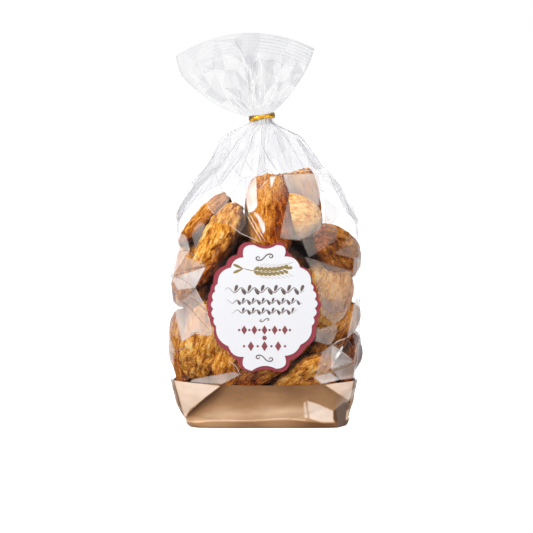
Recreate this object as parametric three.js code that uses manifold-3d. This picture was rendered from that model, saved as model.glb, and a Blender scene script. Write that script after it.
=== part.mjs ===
// A clear film bag of rustic breakfast biscuits, standing on its bronze printed block bottom. Its neck is gathered
// in a gold twist tie, above which the film opens into a fan with a ribbed heat seal along its top edge. A scalloped
// paper label is stuck on the front. The shut bag is modelled as one solid, out to the film.
//
// Millimetres. +X is the bag's right as its front is seen, -Y is the front, +Z is up. The origin is the middle of the
// footprint, on the surface that the bag stands on.

import * as THREE from "three";
import { mergeVertices } from "three/addons/utils/BufferGeometryUtils.js";
import Module from "manifold-3d";

const wasm = await Module();
wasm.setup();

// ---- driving dimensions ----------------------------------------------------------------------------------------

const CLEARANCE = 0.3; // air between two pieces that touch

const BAND_TOP = 27.5; // height of the bronze print
const FOLD_TOP = 4; // height of the folded strip along the foot of the bag
const NECK_Z = 189.4; // height of the twist tie
const NECK_X = -2.8; // the neck stands a little left of the footprint's middle
const NECK_HALF = { x: 6.9, y: 5.1 }; // the gathered film inside the tie

// The filled body, from the floor up to the neck. left, right, front and back are reaches from the vertical axis, flat
// is half the width of the flat front and back panels, and square is the exponent of the rounded corners beside them.
const BODY = [
  { z: 0, left: 46.5, right: 48, front: 26.6, back: 26.6, flat: 40, square: 4 },
  { z: 3.4, left: 49.5, right: 50.4, front: 28.6, back: 28.6, flat: 40, square: 4 },
  { z: FOLD_TOP, left: 49, right: 49.9, front: 27.8, back: 27.8, flat: 40, square: 4 },
  { z: 9, left: 54.2, right: 52.8, front: 30, back: 30, flat: 38, square: 3.2 },
  { z: 16, left: 57.2, right: 54.6, front: 32.5, back: 32, flat: 36, square: 2.8 },
  { z: 27, left: 59.2, right: 56.4, front: 35, back: 34, flat: 34, square: 2.4 },
  { z: 41, left: 59.9, right: 58.2, front: 36, back: 35.4, flat: 33, square: 2.3 },
  { z: 56, left: 60.4, right: 59.6, front: 36, back: 36, flat: 33, square: 2.3 },
  { z: 86, left: 60, right: 59.5, front: 36, back: 36.5, flat: 33, square: 2.3 },
  { z: 101, left: 58, right: 58.6, front: 36, back: 35.8, flat: 33, square: 2.3 },
  { z: 111, left: 55, right: 58, front: 36, back: 34.8, flat: 33, square: 2.3 },
  { z: 120.7, left: 55, right: 57.4, front: 36, back: 33.4, flat: 32, square: 2.3 },
  { z: 130.8, left: 56, right: 54.3, front: 32.6, back: 31.5, flat: 26, square: 2.2 },
  { z: 140.8, left: 51.2, right: 49.9, front: 28, back: 27.6, flat: 20, square: 2.2 },
  { z: 150.7, left: 45.6, right: 44.6, front: 23, back: 23, flat: 14, square: 2.1 },
  { z: 160.7, left: 37.5, right: 35, front: 18, back: 18, flat: 8, square: 2 },
  { z: 170.6, left: 33, right: 28.6, front: 13.5, back: 13.5, flat: 3, square: 2 },
  { z: 180.5, left: 26, right: 19.5, front: 9, back: 9, flat: 0, square: 2 },
  { z: 183.8, left: 16.5, right: 10, front: 6.8, back: 6.8, flat: 0, square: 2 },
];
const BODY_RING_STEP = 6;

// The fan above the tie, in polar sections about a point under the neck. share is the part of the way out to the top
// edge, left and right are the angles from vertical that the fan spreads to, and half is half its thickness.
const FAN_APEX_Z = 183.2;
const FAN = [
  { share: 0.2, left: 45, right: 36, half: 5.2 },
  { share: 0.25, left: 58, right: 44, half: 6.2 },
  { share: 0.32, left: 65.5, right: 45, half: 7.2 },
  { share: 0.44, left: 64.5, right: 41, half: 8 },
  { share: 0.58, left: 62, right: 39.5, half: 7 },
  { share: 0.72, left: 60, right: 38, half: 4.6 },
  { share: 0.82, left: 58, right: 37, half: 1.7 },
  { share: 1, left: 51.5, right: 34.3, half: 0.9 },
];
const FAN_REACH = [ // distance of the top edge from the apex, by angle from vertical, left negative
  { angle: -52, reach: 69 },
  { angle: -25, reach: 61.2 },
  { angle: -3, reach: 57.8 },
  { angle: 16, reach: 57 },
  { angle: 35, reach: 58.1 },
];
const SEAL = { from: 0.85, ribs: 4, depth: 0.35 }; // ribs of the heat seal, along the fan's top edge

const COLUMNS = 64; // points round each section
const PLEATS = 16; // gathers in the film round the neck
const PLEAT_DEPTH = [ // depth of the gathers, by height above the floor
  { z: 136, depth: 0 },
  { z: 153, depth: 0.9 },
  { z: 167, depth: 1.7 },
  { z: 180, depth: 1.4 },
  { z: 185, depth: 0.5 },
];
const FAN_PLEAT_DEPTH = [
  { share: 0.2, depth: 0.3 },
  { share: 0.32, depth: 1.4 },
  { share: 0.5, depth: 2.4 },
  { share: 0.8, depth: 1.6 },
  { share: 1, depth: 1.3 },
];
const GUSSET_DEPTH = [ // how far the side gussets fold in between the panels, by height
  { z: 118, depth: 0 },
  { z: 140, depth: 7 },
  { z: 158, depth: 11 },
  { z: 175, depth: 7 },
  { z: 184, depth: 1 },
];
const GUSSET_EDGE = 0.45; // the panels' edges, beside the gussets, as a share of the way to the front or the back
const GUSSET_DRAWN = 4; // depth of the fold from which the panels' edges are drawn out to the bag's full width
const CRUMPLE = 1.5; // depth of the creases that the biscuits press into the film
const BASE_CRUMPLE = 0.9; // and of those in the stiffer printed part

// The label. border is the width of the rose backing that shows round the face, and slant draws the backing out
// towards its upper left and lower right corners.
const LABEL = { x: -1.2, z: 77, backing: 0.4, face: 0.3, border: 3, slant: 0.045 };
// A quarter of the face's outline, as x and z from its centre: the shallow dip at the top, the end of it on the
// shoulder, and the points where the lobes meet, with how far each lobe swells out on the way to its point.
const LABEL_DIP = 35.4;
const LABEL_SHOULDER = { x: 7.4, z: 38.4 };
const LABEL_LOBES = [
  { x: 12.2, z: 32, swell: 3.1 },
  { x: 23, z: 23.5, swell: 3 },
  { x: 29.6, z: 12.5, swell: 2.6 },
  { x: 30.7, z: 8, swell: 1.2 },
  { x: 31.2, z: 2.6, swell: 1.7 },
];
const MIDDLE_LOBE = 1.8; // swell of the lobe at mid height, between the two quarters

// The twist tie: half the ribbon's width, its thickness, its tilt to the left in degrees, and the lengths of the
// twisted stem behind the neck and of each loose end.
const TIE = { half: 1.6, thickness: 0.9, tilt: 6, twist: 9, tail: 9 };

// ---- shared shape functions -------------------------------------------------------------------------------------

const clamp = THREE.MathUtils.clamp;
const lerp = THREE.MathUtils.lerp;
const rad = THREE.MathUtils.degToRad;

// The value of field at a place along a table of stations, eased between them so that no station shows as a corner.
function along(stations, key, place, field, eased = true) {
  let i = 0;
  while (i < stations.length - 2 && place > stations[i + 1][key]) i++;
  const a = stations[i];
  const b = stations[i + 1];
  const t = clamp((place - a[key]) / (b[key] - a[key]), 0, 1);
  if (!eased) return lerp(a[field], b[field], t);
  const rise = (j) => (stations[j + 1][field] - stations[j][field]) / (stations[j + 1][key] - stations[j][key]);
  const slope = (j) => {
    if (j === 0) return rise(0);
    if (j === stations.length - 1) return rise(j - 1);
    const [p, q] = [rise(j - 1), rise(j)];
    return p * q > 0 ? (2 * p * q) / (p + q) : 0; // level beside a flat stretch, so that it stays flat
  };
  const span = b[key] - a[key];
  const t2 = t * t;
  const t3 = t2 * t;
  return (
    (2 * t3 - 3 * t2 + 1) * a[field] +
    (t3 - 2 * t2 + t) * span * slope(i) +
    (3 * t2 - 2 * t3) * b[field] +
    (t3 - t2) * span * slope(i + 1)
  );
}

// A repeatable random number from -1 to 1 for a pair of whole numbers.
function chance(i, j) {
  const s = Math.sin(i * 127.1 + j * 311.7 + 53.3) * 43758.5453;
  return 2 * (s - Math.floor(s)) - 1;
}

// Flat facets with sharp creases between them: chance values on a triangular grid, joined by planes.
function facets(column, row, columnsRound) {
  const wrap = (i) => ((i % columnsRound) + columnsRound) % columnsRound;
  const i = Math.floor(column);
  const j = Math.floor(row);
  const u = column - i;
  const v = row - j;
  const at = (a, b) => chance(wrap(i + a), j + b);
  return u + v < 1
    ? at(0, 0) + u * (at(1, 0) - at(0, 0)) + v * (at(0, 1) - at(0, 0))
    : at(1, 1) + (1 - u) * (at(0, 1) - at(1, 1)) + (1 - v) * (at(1, 0) - at(1, 1));
}

const zigzag = (turns) => 1 - 4 * Math.abs(turns - Math.floor(turns) - 0.5);

// ---- sections ---------------------------------------------------------------------------------------------------

// COLUMNS points spaced evenly round a section of the body. They start at the right-hand side and go round by the back.
function bodyOutline(z) {
  const at = (field) => along(BODY, "z", z, field, z > FOLD_TOP);
  const [left, right, front, back] = ["left", "right", "front", "back"].map(at);
  const flat = clamp(at("flat"), 0, Math.min(left, right));
  const power = 2 / at("square");
  const quarter = [];
  for (let k = 0; k <= 40; k++) {
    const a = (k / 40) * (Math.PI / 2);
    quarter.push([Math.cos(a) ** power, Math.sin(a) ** power]);
  }
  quarter[40][0] = 0;
  const outline = [];
  const add = (side, depth, list) =>
    list.forEach((q) => {
      const reach = side > 0 ? right : left;
      outline.push(new THREE.Vector2(side * (flat + (reach - flat) * q[0]), depth * q[1]));
    });
  const inward = [...quarter].reverse();
  add(1, back, quarter);
  add(-1, back, inward);
  add(-1, -front, quarter);
  add(1, -front, inward);
  outline.push(outline[0].clone());

  const lengths = [0];
  for (let k = 1; k < outline.length; k++) lengths.push(lengths[k - 1] + outline[k].distanceTo(outline[k - 1]));
  const total = lengths.at(-1);
  const points = [];
  let k = 1;
  for (let c = 0; c < COLUMNS; c++) {
    const want = (total * c) / COLUMNS;
    while (lengths[k] < want) k++;
    const t = (want - lengths[k - 1]) / (lengths[k] - lengths[k - 1] || 1);
    points.push(outline[k - 1].clone().lerp(outline[k], t));
  }
  return points;
}

// 0 over the label's own patch of the front, which stays flat, and 1 away from it.
function offLabel(x, y, z) {
  if (y > 0) return 1;
  const reach = Math.hypot((x - LABEL.x) / 38, (z - LABEL.z) / 44);
  return clamp((reach - 1) / 0.25, 0, 1);
}

// One ring of the body, with its gussets, gathers and creases.
function bodyRing(z, crumple) {
  const gusset = along(GUSSET_DEPTH, "z", z, "depth") * (z > GUSSET_DEPTH[0].z ? 1 : 0);
  const pleat = z > PLEAT_DEPTH[0].z ? along(PLEAT_DEPTH, "z", z, "depth") : 0;
  const depth = { front: along(BODY, "z", z, "front"), back: along(BODY, "z", z, "back") };
  const reach = { left: along(BODY, "z", z, "left"), right: along(BODY, "z", z, "right") };
  const edgeX = (1 - GUSSET_EDGE ** 2) ** 0.5;
  const outline = bodyOutline(z);
  return outline.map((p, c) => {
    const before = outline[(c + COLUMNS - 1) % COLUMNS];
    const after = outline[(c + 1) % COLUMNS];
    const out = new THREE.Vector2(after.y - before.y, before.x - after.x).normalize();
    const press =
      crumple * offLabel(p.x, p.y, z) * facets(c / 4, z / 15, COLUMNS / 4) -
      pleat * (1 + zigzag((c / COLUMNS) * PLEATS)) * 0.5;
    const half = p.x > 0 ? reach.right : reach.left;
    const toPanel = Math.abs(p.y) / (p.y > 0 ? depth.back : depth.front);
    const beyond = clamp((toPanel - GUSSET_EDGE) / (1 - GUSSET_EDGE), 0, 1);
    const panelX = Math.abs(p.x) + half * (1 - edgeX) * (1 - beyond) ** 2;
    const foldX = half - gusset * (1 - toPanel / GUSSET_EDGE);
    const drawn = clamp(gusset / GUSSET_DRAWN, 0, 1);
    const x = Math.sign(p.x) * lerp(Math.abs(p.x), toPanel < GUSSET_EDGE ? foldX : panelX, drawn);
    return new THREE.Vector3(x + out.x * press, p.y + out.y * press, z);
  });
}

// The gathered neck, an upright bundle inside the tie.
function neckRing(z) {
  const ring = [];
  for (let c = 0; c < COLUMNS; c++) {
    const a = (c / COLUMNS) * 2 * Math.PI;
    const tuck = 1 - 0.05 * (1 + zigzag((c / COLUMNS) * PLEATS));
    ring.push(new THREE.Vector3(NECK_X + NECK_HALF.x * tuck * Math.cos(a), NECK_HALF.y * tuck * Math.sin(a), z));
  }
  return ring;
}

// One polar section of the fan. Its front and back columns face each other, so that the top edge can be shut.
function fanRing(share, extra = 0) {
  const left = along(FAN, "share", share, "left");
  const right = along(FAN, "share", share, "right");
  const half = along(FAN, "share", share, "half") + extra;
  const pleat = along(FAN_PLEAT_DEPTH, "share", share, "depth");
  const ring = [];
  for (let c = 0; c < COLUMNS; c++) {
    const spread = 4 * Math.abs(c / COLUMNS - 0.5) - 1; // from 1 at the right to -1 at the left, and back
    const degrees = lerp(-left, right, (spread + 1) / 2);
    const reach = share * along(FAN_REACH, "angle", degrees, "reach");
    const side = c < COLUMNS / 2 ? 1 : -1;
    const puff = Math.sqrt(Math.max(0, 1 - spread * spread)) ** 0.7;
    const edge = clamp((1 - Math.abs(spread)) * 5, 0, 1);
    const wave = pleat * edge * zigzag(((spread + 1) / 4) * PLEATS + 0.25);
    ring.push(
      new THREE.Vector3(
        NECK_X + reach * Math.sin(rad(degrees)),
        side * Math.max(half * puff, 0.45) * (Math.abs(spread) > 0.999 ? 0 : 1) + wave,
        FAN_APEX_Z + reach * Math.cos(rad(degrees)),
      ),
    );
  }
  return ring;
}

// ---- meshes -----------------------------------------------------------------------------------------------------

// A mesh from its points and triangles, turned so that its faces point out whichever way round they were listed.
function geometryOf(positions, faces) {
  const sixfold = faces.reduce((sum, [a, b, c]) => {
    const normal = positions[b].clone().cross(positions[c]);
    return sum + positions[a].dot(normal);
  }, 0);
  const outward = sixfold > 0 ? faces : faces.map(([a, b, c]) => [a, c, b]);
  const geometry = new THREE.BufferGeometry();
  geometry.setAttribute("position", new THREE.Float32BufferAttribute(positions.flatMap((p) => p.toArray()), 3));
  geometry.setIndex(outward.flat());
  return geometry;
}

// A skin through rings of equal length, with a flat bottom. "flat" shuts the top with a fan of triangles, and "seam"
// joins each front column to the back one that it faces.
function loft(rings, top) {
  const n = rings[0].length;
  const points = rings.flat();
  const faces = [];
  for (let r = 0; r + 1 < rings.length; r++)
    for (let c = 0; c < n; c++) {
      const [a, b] = [r * n + c, r * n + ((c + 1) % n)];
      const [d, e] = [a + n, b + n];
      if ((r + c) % 2) faces.push([a, b, e], [a, e, d]);
      else faces.push([a, b, d], [b, e, d]);
    }
  const shut = (ring, first, facingUp) => {
    const centre = ring.reduce((sum, p) => sum.add(p), new THREE.Vector3()).divideScalar(n);
    points.push(centre);
    for (let c = 0; c < n; c++) {
      const [a, b] = [first + c, first + ((c + 1) % n)];
      faces.push(facingUp ? [a, b, points.length - 1] : [b, a, points.length - 1]);
    }
  };
  shut(rings[0], 0, false);
  const last = (rings.length - 1) * n;
  if (top === "flat") shut(rings.at(-1), last, true);
  else
    for (let c = 0; c < n / 2; c++) {
      const [a, b] = [last + c, last + c + 1];
      const [d, e] = [last + ((n - c) % n), last + n - c - 1];
      if (c > 0) faces.push([a, b, d]);
      if (c < n / 2 - 1) faces.push([b, e, d]);
    }
  return geometryOf(points, faces);
}

// A tube of the given sections along a path: each section is a list of points in order round the path.
function sweep(sections, closed) {
  const n = sections[0].length;
  const m = sections.length;
  const faces = [];
  for (let s = 0; s < (closed ? m : m - 1); s++)
    for (let k = 0; k < n; k++) {
      const [a, b] = [s * n + k, s * n + ((k + 1) % n)];
      const [d, e] = [((s + 1) % m) * n + k, ((s + 1) % m) * n + ((k + 1) % n)];
      faces.push([a, b, e], [a, e, d]);
    }
  if (!closed)
    for (let k = 1; k < n - 1; k++) {
      faces.push([0, k + 1, k]);
      faces.push([(m - 1) * n, (m - 1) * n + k, (m - 1) * n + k + 1]);
    }
  return geometryOf(sections.flat(), faces);
}

function solidOf(geometry) {
  const bare = geometry.clone();
  bare.deleteAttribute("normal");
  bare.deleteAttribute("uv");
  const merged = mergeVertices(bare, 1e-4);
  const vertProperties = Float32Array.from(merged.attributes.position.array);
  return new wasm.Manifold(new wasm.Mesh({ numProp: 3, vertProperties, triVerts: Uint32Array.from(merged.index.array) }));
}

function geometryFrom(solid) {
  const { vertProperties, triVerts } = solid.getMesh();
  const geometry = new THREE.BufferGeometry();
  geometry.setAttribute("position", new THREE.BufferAttribute(vertProperties, 3));
  geometry.setIndex(new THREE.BufferAttribute(triVerts, 1));
  return geometry;
}

function piece(name, geometry, color, finish) {
  geometry.computeVertexNormals();
  const mesh = new THREE.Mesh(geometry, new THREE.MeshStandardMaterial({ color, flatShading: true, ...finish }));
  mesh.name = name;
  return mesh;
}

// ---- the printed block bottom -----------------------------------------------------------------------------------

// The lowest part of the bag: a folded rectangle on the floor that opens out to the rounded body above it, with the
// edge of the bottom fold standing out as a strip all round.
function bronzeBase() {
  const heights = [0, 3.4, FOLD_TOP, 9, 14, 19, 24, BAND_TOP];
  const rings = heights.map((z) => {
    const free = clamp((z - FOLD_TOP) / 6, 0, 1) * clamp((BAND_TOP - z) / 5, 0, 1);
    return bodyRing(z, BASE_CRUMPLE * free);
  });
  return piece("bronze_base", loft(rings, "flat"), 0xa98262, { roughness: 0.35, metalness: 0.85 });
}

// ---- the clear film bag -----------------------------------------------------------------------------------------

// Everything above the print: the filled body, its shoulders, the tied neck and the fan. It is one piece of film.
function filmBag() {
  const rings = [];
  const bottom = BAND_TOP + CLEARANCE;
  for (let z = bottom; z < BODY.at(-1).z - 1; z += BODY_RING_STEP)
    rings.push(bodyRing(z, CRUMPLE * clamp((z - bottom) / 8, 0, 1) * clamp((BODY.at(-1).z - z) / 20, 0.3, 1)));
  rings.push(bodyRing(BODY.at(-1).z, 0));
  for (const z of [NECK_Z - 3.8, NECK_Z - 0.2, NECK_Z + 3]) rings.push(neckRing(z));
  for (const share of [0.2, 0.25, 0.32, 0.4, 0.48, 0.56, 0.64, 0.72, 0.79]) rings.push(fanRing(share));
  for (let rib = 0; rib <= 2 * SEAL.ribs; rib++) {
    const share = lerp(SEAL.from, 1, rib / (2 * SEAL.ribs));
    rings.push(fanRing(share, rib % 2 ? SEAL.depth : 0));
  }
  return piece("film_bag", loft(rings, "seam"), 0xe9e7e6, { roughness: 0.1, transparent: true, opacity: 0.45 });
}

// ---- the label --------------------------------------------------------------------------------------------------

// The scalloped outline, grown by a border and drawn out on a slant. One quarter is mirrored to the other three.
function labelShape(border, slant) {
  const lobe = (from, to, swell, steps) => {
    const out = new THREE.Vector2(from.y - to.y, to.x - from.x).normalize();
    const middle = from.clone().lerp(to, 0.5).addScaledVector(out, 2 * swell);
    return new THREE.QuadraticBezierCurve(from, middle, to).getPoints(steps).slice(1);
  };
  const shoulder = new THREE.Vector2(LABEL_SHOULDER.x, LABEL_SHOULDER.z);
  const lowest = new THREE.Vector2(0, LABEL_DIP);
  const level = new THREE.Vector2(LABEL_SHOULDER.x * 0.6, LABEL_DIP);
  const quarter = new THREE.QuadraticBezierCurve(lowest, level, shoulder).getPoints(4);
  for (const { x, z, swell } of LABEL_LOBES)
    quarter.push(...lobe(quarter.at(-1), new THREE.Vector2(x, z), swell, swell > 2 ? 6 : 4));
  const mirrored = (points, sx, sz) => points.map((p) => new THREE.Vector2(p.x * sx, p.y * sz)).reverse();
  const lower = mirrored(quarter, 1, -1);
  const right = [...quarter, ...lobe(quarter.at(-1), lower[0], MIDDLE_LOBE, 4).slice(0, -1), ...lower];
  const left = mirrored(right, -1, 1).slice(1, -1);
  const reach = { x: LABEL_LOBES.at(-1).x, z: LABEL_SHOULDER.z };
  return new THREE.Shape(
    [...right, ...left].map(({ x, y: z }) => {
      const radius = Math.hypot(x / reach.x, z / reach.z);
      const wider = 1 + border / reach.x / radius;
      const taller = 1 + border / reach.z / radius;
      return new THREE.Vector2(x * wider - slant * z, z * taller - slant * x);
    }),
  );
}

// A flat plate of that outline, standing upright with its back at distance from the flat front of the bag.
function labelPlate(name, outline, distance, thickness, color) {
  const geometry = new THREE.ExtrudeGeometry(outline, { depth: thickness, bevelEnabled: false, steps: 1 });
  geometry.rotateX(Math.PI / 2);
  geometry.translate(LABEL.x, -frontPlane() - distance, LABEL.z);
  return piece(name, geometryFrom(solidOf(geometry)), color, { roughness: 0.55 });
}

const frontPlane = () => Math.max(...BODY.map(({ front }) => front));

// ---- the twist tie ----------------------------------------------------------------------------------------------

// A flat ribbon with a wire core, wound once round the neck, twisted together behind it and left with two short ends.
function twistTie() {
  const loopX = NECK_HALF.x + CLEARANCE + TIE.thickness / 2 + 0.25;
  const loopY = NECK_HALF.y + CLEARANCE + TIE.thickness / 2 + 0.25;
  const loop = [];
  for (let k = 0; k < 32; k++) {
    const a = (k / 32) * 2 * Math.PI;
    const out = new THREE.Vector3(Math.cos(a), Math.sin(a), 0);
    const middle = new THREE.Vector3(loopX * Math.cos(a), loopY * Math.sin(a), 0);
    const height = TIE.half * (1 - 0.18 * Math.cos(3 * a + 0.6));
    loop.push(ribbonSection(middle, out, new THREE.Vector3(0, 0, 1), TIE.thickness / 2, height));
  }
  let tie = solidOf(sweep(loop, true));

  const root = new THREE.Vector3(0, loopY - 0.2, 0);
  const tip = new THREE.Vector3(0, loopY + TIE.twist, -3);
  const twist = [];
  for (let k = 0; k <= 24; k++) {
    const turn = (k / 24) * 3 * Math.PI;
    const across = new THREE.Vector3(Math.cos(turn), 0, Math.sin(turn));
    const up = new THREE.Vector3(-Math.sin(turn), 0, Math.cos(turn));
    twist.push(ribbonSection(root.clone().lerp(tip, k / 24), across, up, 0.75, 1.5));
  }
  tie = tie.add(solidOf(sweep(twist, false)));

  for (const side of [-1, 1]) {
    const end = [];
    for (let k = 0; k <= 6; k++) {
      const t = k / 6;
      const middle = tip.clone().add(new THREE.Vector3(side * TIE.tail * t, 0.5 * TIE.tail * t * (1 - t) - 0.6, -3 * t * t));
      end.push(ribbonSection(middle, new THREE.Vector3(0, 1, 0), new THREE.Vector3(0, 0, 1), 0.4, TIE.half * 0.8));
    }
    tie = tie.add(solidOf(sweep(end, false)));
  }
  const mesh = piece("twist_tie", geometryFrom(tie), 0xd8ae2c, { roughness: 0.3, metalness: 0.8 });
  mesh.position.set(NECK_X, 0, NECK_Z);
  mesh.rotation.y = -rad(TIE.tilt);
  return mesh;
}

// A rounded flat section with eight corners, thin along one direction and tall along the other.
function ribbonSection(middle, thin, tall, halfThin, halfTall) {
  const section = [];
  for (let k = 0; k < 8; k++) {
    const a = ((k + 0.5) / 8) * 2 * Math.PI;
    section.push(
      middle
        .clone()
        .addScaledVector(thin, halfThin * Math.cos(a))
        .addScaledVector(tall, halfTall * Math.sin(a)),
    );
  }
  return section;
}

// ---- assembly ---------------------------------------------------------------------------------------------------

const bag = new THREE.Group();
bag.add(
  bronzeBase(),
  filmBag(),
  labelPlate("label_backing", labelShape(LABEL.border, LABEL.slant), CLEARANCE, LABEL.backing, 0xad4455),
  labelPlate("label_face", labelShape(0, 0), 2 * CLEARANCE + LABEL.backing, LABEL.face, 0xf2f2f5),
  twistTie(),
);

export default bag;
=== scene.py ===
"""A clear film bag of rustic breakfast biscuits, with a bronze block bottom and a gold ribbon at its neck.

The frame gives the bag's outer form. Sizes are millimetres here, turned to metres as each mesh is made.
"""
import itertools
import math

import bpy
import numpy as np
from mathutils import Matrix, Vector
from mathutils.bvhtree import BVHTree
from mathutils.geometry import delaunay_2d_cdt


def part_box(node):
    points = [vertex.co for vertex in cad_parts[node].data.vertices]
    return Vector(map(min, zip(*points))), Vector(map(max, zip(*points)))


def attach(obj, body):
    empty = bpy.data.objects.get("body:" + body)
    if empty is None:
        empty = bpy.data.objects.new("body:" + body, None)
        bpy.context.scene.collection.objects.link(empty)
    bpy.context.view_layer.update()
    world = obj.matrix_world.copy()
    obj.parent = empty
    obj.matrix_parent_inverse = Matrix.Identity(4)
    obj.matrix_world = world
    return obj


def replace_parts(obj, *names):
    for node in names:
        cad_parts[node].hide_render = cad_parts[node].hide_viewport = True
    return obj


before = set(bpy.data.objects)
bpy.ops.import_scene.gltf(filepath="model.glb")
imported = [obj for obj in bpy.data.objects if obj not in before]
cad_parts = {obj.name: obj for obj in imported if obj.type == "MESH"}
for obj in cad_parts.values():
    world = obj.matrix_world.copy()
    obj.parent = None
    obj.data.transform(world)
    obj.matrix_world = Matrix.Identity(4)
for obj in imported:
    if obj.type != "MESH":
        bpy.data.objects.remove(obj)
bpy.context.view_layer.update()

# ---- printed block bottom ----------------------------------------------------------------------
# The lowest part of the bag is the same film, printed inside with a satin bronze ink. It is folded into a
# flat rectangle that the bag stands on: the fold's edge shows as a strip along the foot, and stiff creases
# run up from it.

MM = 0.001
PRINT_TOP = 27.5  # the height at which the print ends and the clear film begins
SKIN_STEP = 1.0  # spacing of the heights at which the bag's outer form is felt
BEARINGS = 360  # and the bearings, from the middle of the back round by the bag's left
PANEL_EDGES = (104, 124)  # the panels' edges beside the gussets turn crisp between these heights
COLUMNS = 460  # points round the printed shell
FRONT_SHARE = 0.66  # the share of all points round the film that lies on the front
GIRTH = 340.0  # the film's length round the bag
FAR_OFF = 200  # well outside the bag


def feel_skin(nodes, top):
    """How far the bag reaches from its upright axis, by height and bearing, with the facets eased out."""
    points, faces = [], []
    for node in nodes:
        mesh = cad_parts[node].data
        faces += [[len(points) + i for i in face.vertices] for face in mesh.polygons]
        points += [vertex.co / MM for vertex in mesh.vertices]
    tree = BVHTree.FromPolygons(points, faces)
    heights = np.arange(SKIN_STEP / 4, top, SKIN_STEP)
    felt = np.zeros((len(heights), BEARINGS))
    for row, z in enumerate(heights):
        for column in range(BEARINGS):
            turn = math.radians(90 + column)
            away = Vector((math.cos(turn), math.sin(turn), 0))
            outside = away * FAR_OFF + Vector((0, 0, z))
            felt[row, column] = tree.ray_cast(outside, -away)[0].xy.length

    def eased(reach, spreads):
        """Blurs the reach along the bearings and then along the heights."""
        for (axis, mode), spread in zip(((1, "wrap"), (0, "edge")), spreads):
            wide = math.ceil(3 * spread)
            steps = np.arange(-wide, wide + 1)
            weights = np.exp(-0.5 * (steps / spread) ** 2)
            pad = [(0, 0), (0, 0)]
            pad[axis] = (wide, wide)
            padded = np.pad(reach, pad, mode)
            taken = [np.take(padded, range(k, k + reach.shape[axis]), axis) for k in range(len(steps))]
            reach = sum(w * part for w, part in zip(weights / weights.sum(), taken))
        return reach

    crisp = ease(*PANEL_EDGES, heights)[:, None]
    return heights, eased(felt, (7, 3)) * (1 - crisp) + eased(felt, (1.2, 1.2)) * crisp


def ease(low, high, value):
    """0 up to low, 1 from high on, and a smooth rise between them."""
    share = np.clip((value - low) / (high - low), 0, 1)
    return share * share * (3 - 2 * share)


def squared(heights, reach):
    """The same reach with its four upright corners drawn out, low down, to a block bottom's crisp folds."""
    turns = np.radians(90 + np.arange(BEARINGS))
    x, y = reach * np.cos(turns), reach * np.sin(turns)
    across = np.where(np.cos(turns) > 0, x.max(1)[:, None], -x.min(1)[:, None])
    deep = np.where(np.sin(turns) > 0, y.max(1)[:, None], -y.min(1)[:, None])
    power = 10  # the higher, the sharper the corners
    boxy = (np.abs(np.cos(turns) / across) ** power + np.abs(np.sin(turns) / deep) ** power) ** (-1 / power)
    share = 0.75 * (1 - np.clip((heights - 45) / 50, 0, 1))
    return reach + (boxy - reach) * share[:, None]


TIE_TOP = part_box("twist_tie")[1].z / MM
skin_heights, skin_reach = feel_skin(["bronze_base", "film_bag"], TIE_TOP - 4)
skin_reach = squared(skin_heights, skin_reach)


def spread_round(columns, front):
    """Places round the bag, 0 at the back's middle and 0.5 at the front's, a share of them on the front."""
    before = round(columns * (1 - front) / 2)
    left = np.arange(before) / before / 4
    middle = 0.25 + np.arange(columns - 2 * before) / (columns - 2 * before) / 2
    return np.concatenate([left, middle, 0.75 + left])


def skin_rings(heights, places):
    """Rings round the bag's outer form, one for each height, with a point at each place round the film."""
    turns = np.radians(90 + np.arange(BEARINGS + 1))
    rings = np.zeros((len(heights), len(places), 3))
    for row, z in enumerate(heights):
        place = np.clip((z - skin_heights[0]) / SKIN_STEP, 0, len(skin_heights) - 1.001)
        below = int(place)
        reach = skin_reach[below] * (1 - place + below) + skin_reach[below + 1] * (place - below)
        reach = np.append(reach, reach[0])
        outline = np.stack([reach * np.cos(turns), reach * np.sin(turns)], 1)
        for side in (0, 1):
            half = outline[side * BEARINGS // 2:(side + 1) * BEARINGS // 2 + 1]
            run = np.append(0, np.cumsum(np.hypot(*np.diff(half, axis=0).T)))
            part = (places >= 0.5 * side) & (places < 0.5 * side + 0.5)
            wanted = (places[part] * 2 - side) * run[-1]
            rings[row, part, 0] = np.interp(wanted, run, half[:, 0])
            rings[row, part, 1] = np.interp(wanted, run, half[:, 1])
        rings[row, :, 2] = z
    return rings


CAMERA_DISTANCE = 1500.0
CAMERA_ELEVATION = math.radians(6)
VIEW_MIDDLE = 96.7  # the height that the camera looks at


def front_view(points):
    """Where points show from the front: right of the view's middle and above it, in millimetres."""
    s, c = math.sin(CAMERA_ELEVATION), math.cos(CAMERA_ELEVATION)
    x, y, z = points[..., 0], points[..., 1], points[..., 2] - VIEW_MIDDLE
    nearer = CAMERA_DISTANCE / (CAMERA_DISTANCE + y * c - z * s)
    return x * nearer, (y * s + z * c) * nearer


def outward(rings):
    """Level directions that point out of the bag, one for each point of the rings."""
    along = np.roll(rings, -1, 1) - np.roll(rings, 1, 1)
    away = np.stack([along[..., 1], -along[..., 0], np.zeros(rings.shape[:2])], 2)
    sense = np.sign((away * -rings).sum(2, keepdims=True))
    return -away / np.linalg.norm(away, axis=2, keepdims=True) * sense


HASH = np.array([73856093, 19349663, 83492791])  # large primes that stir a cell's place into one number
STIRS = (2246822519, 3266489917)  # and two that stir that number
WORD = 0xFFFFFFFF


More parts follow.
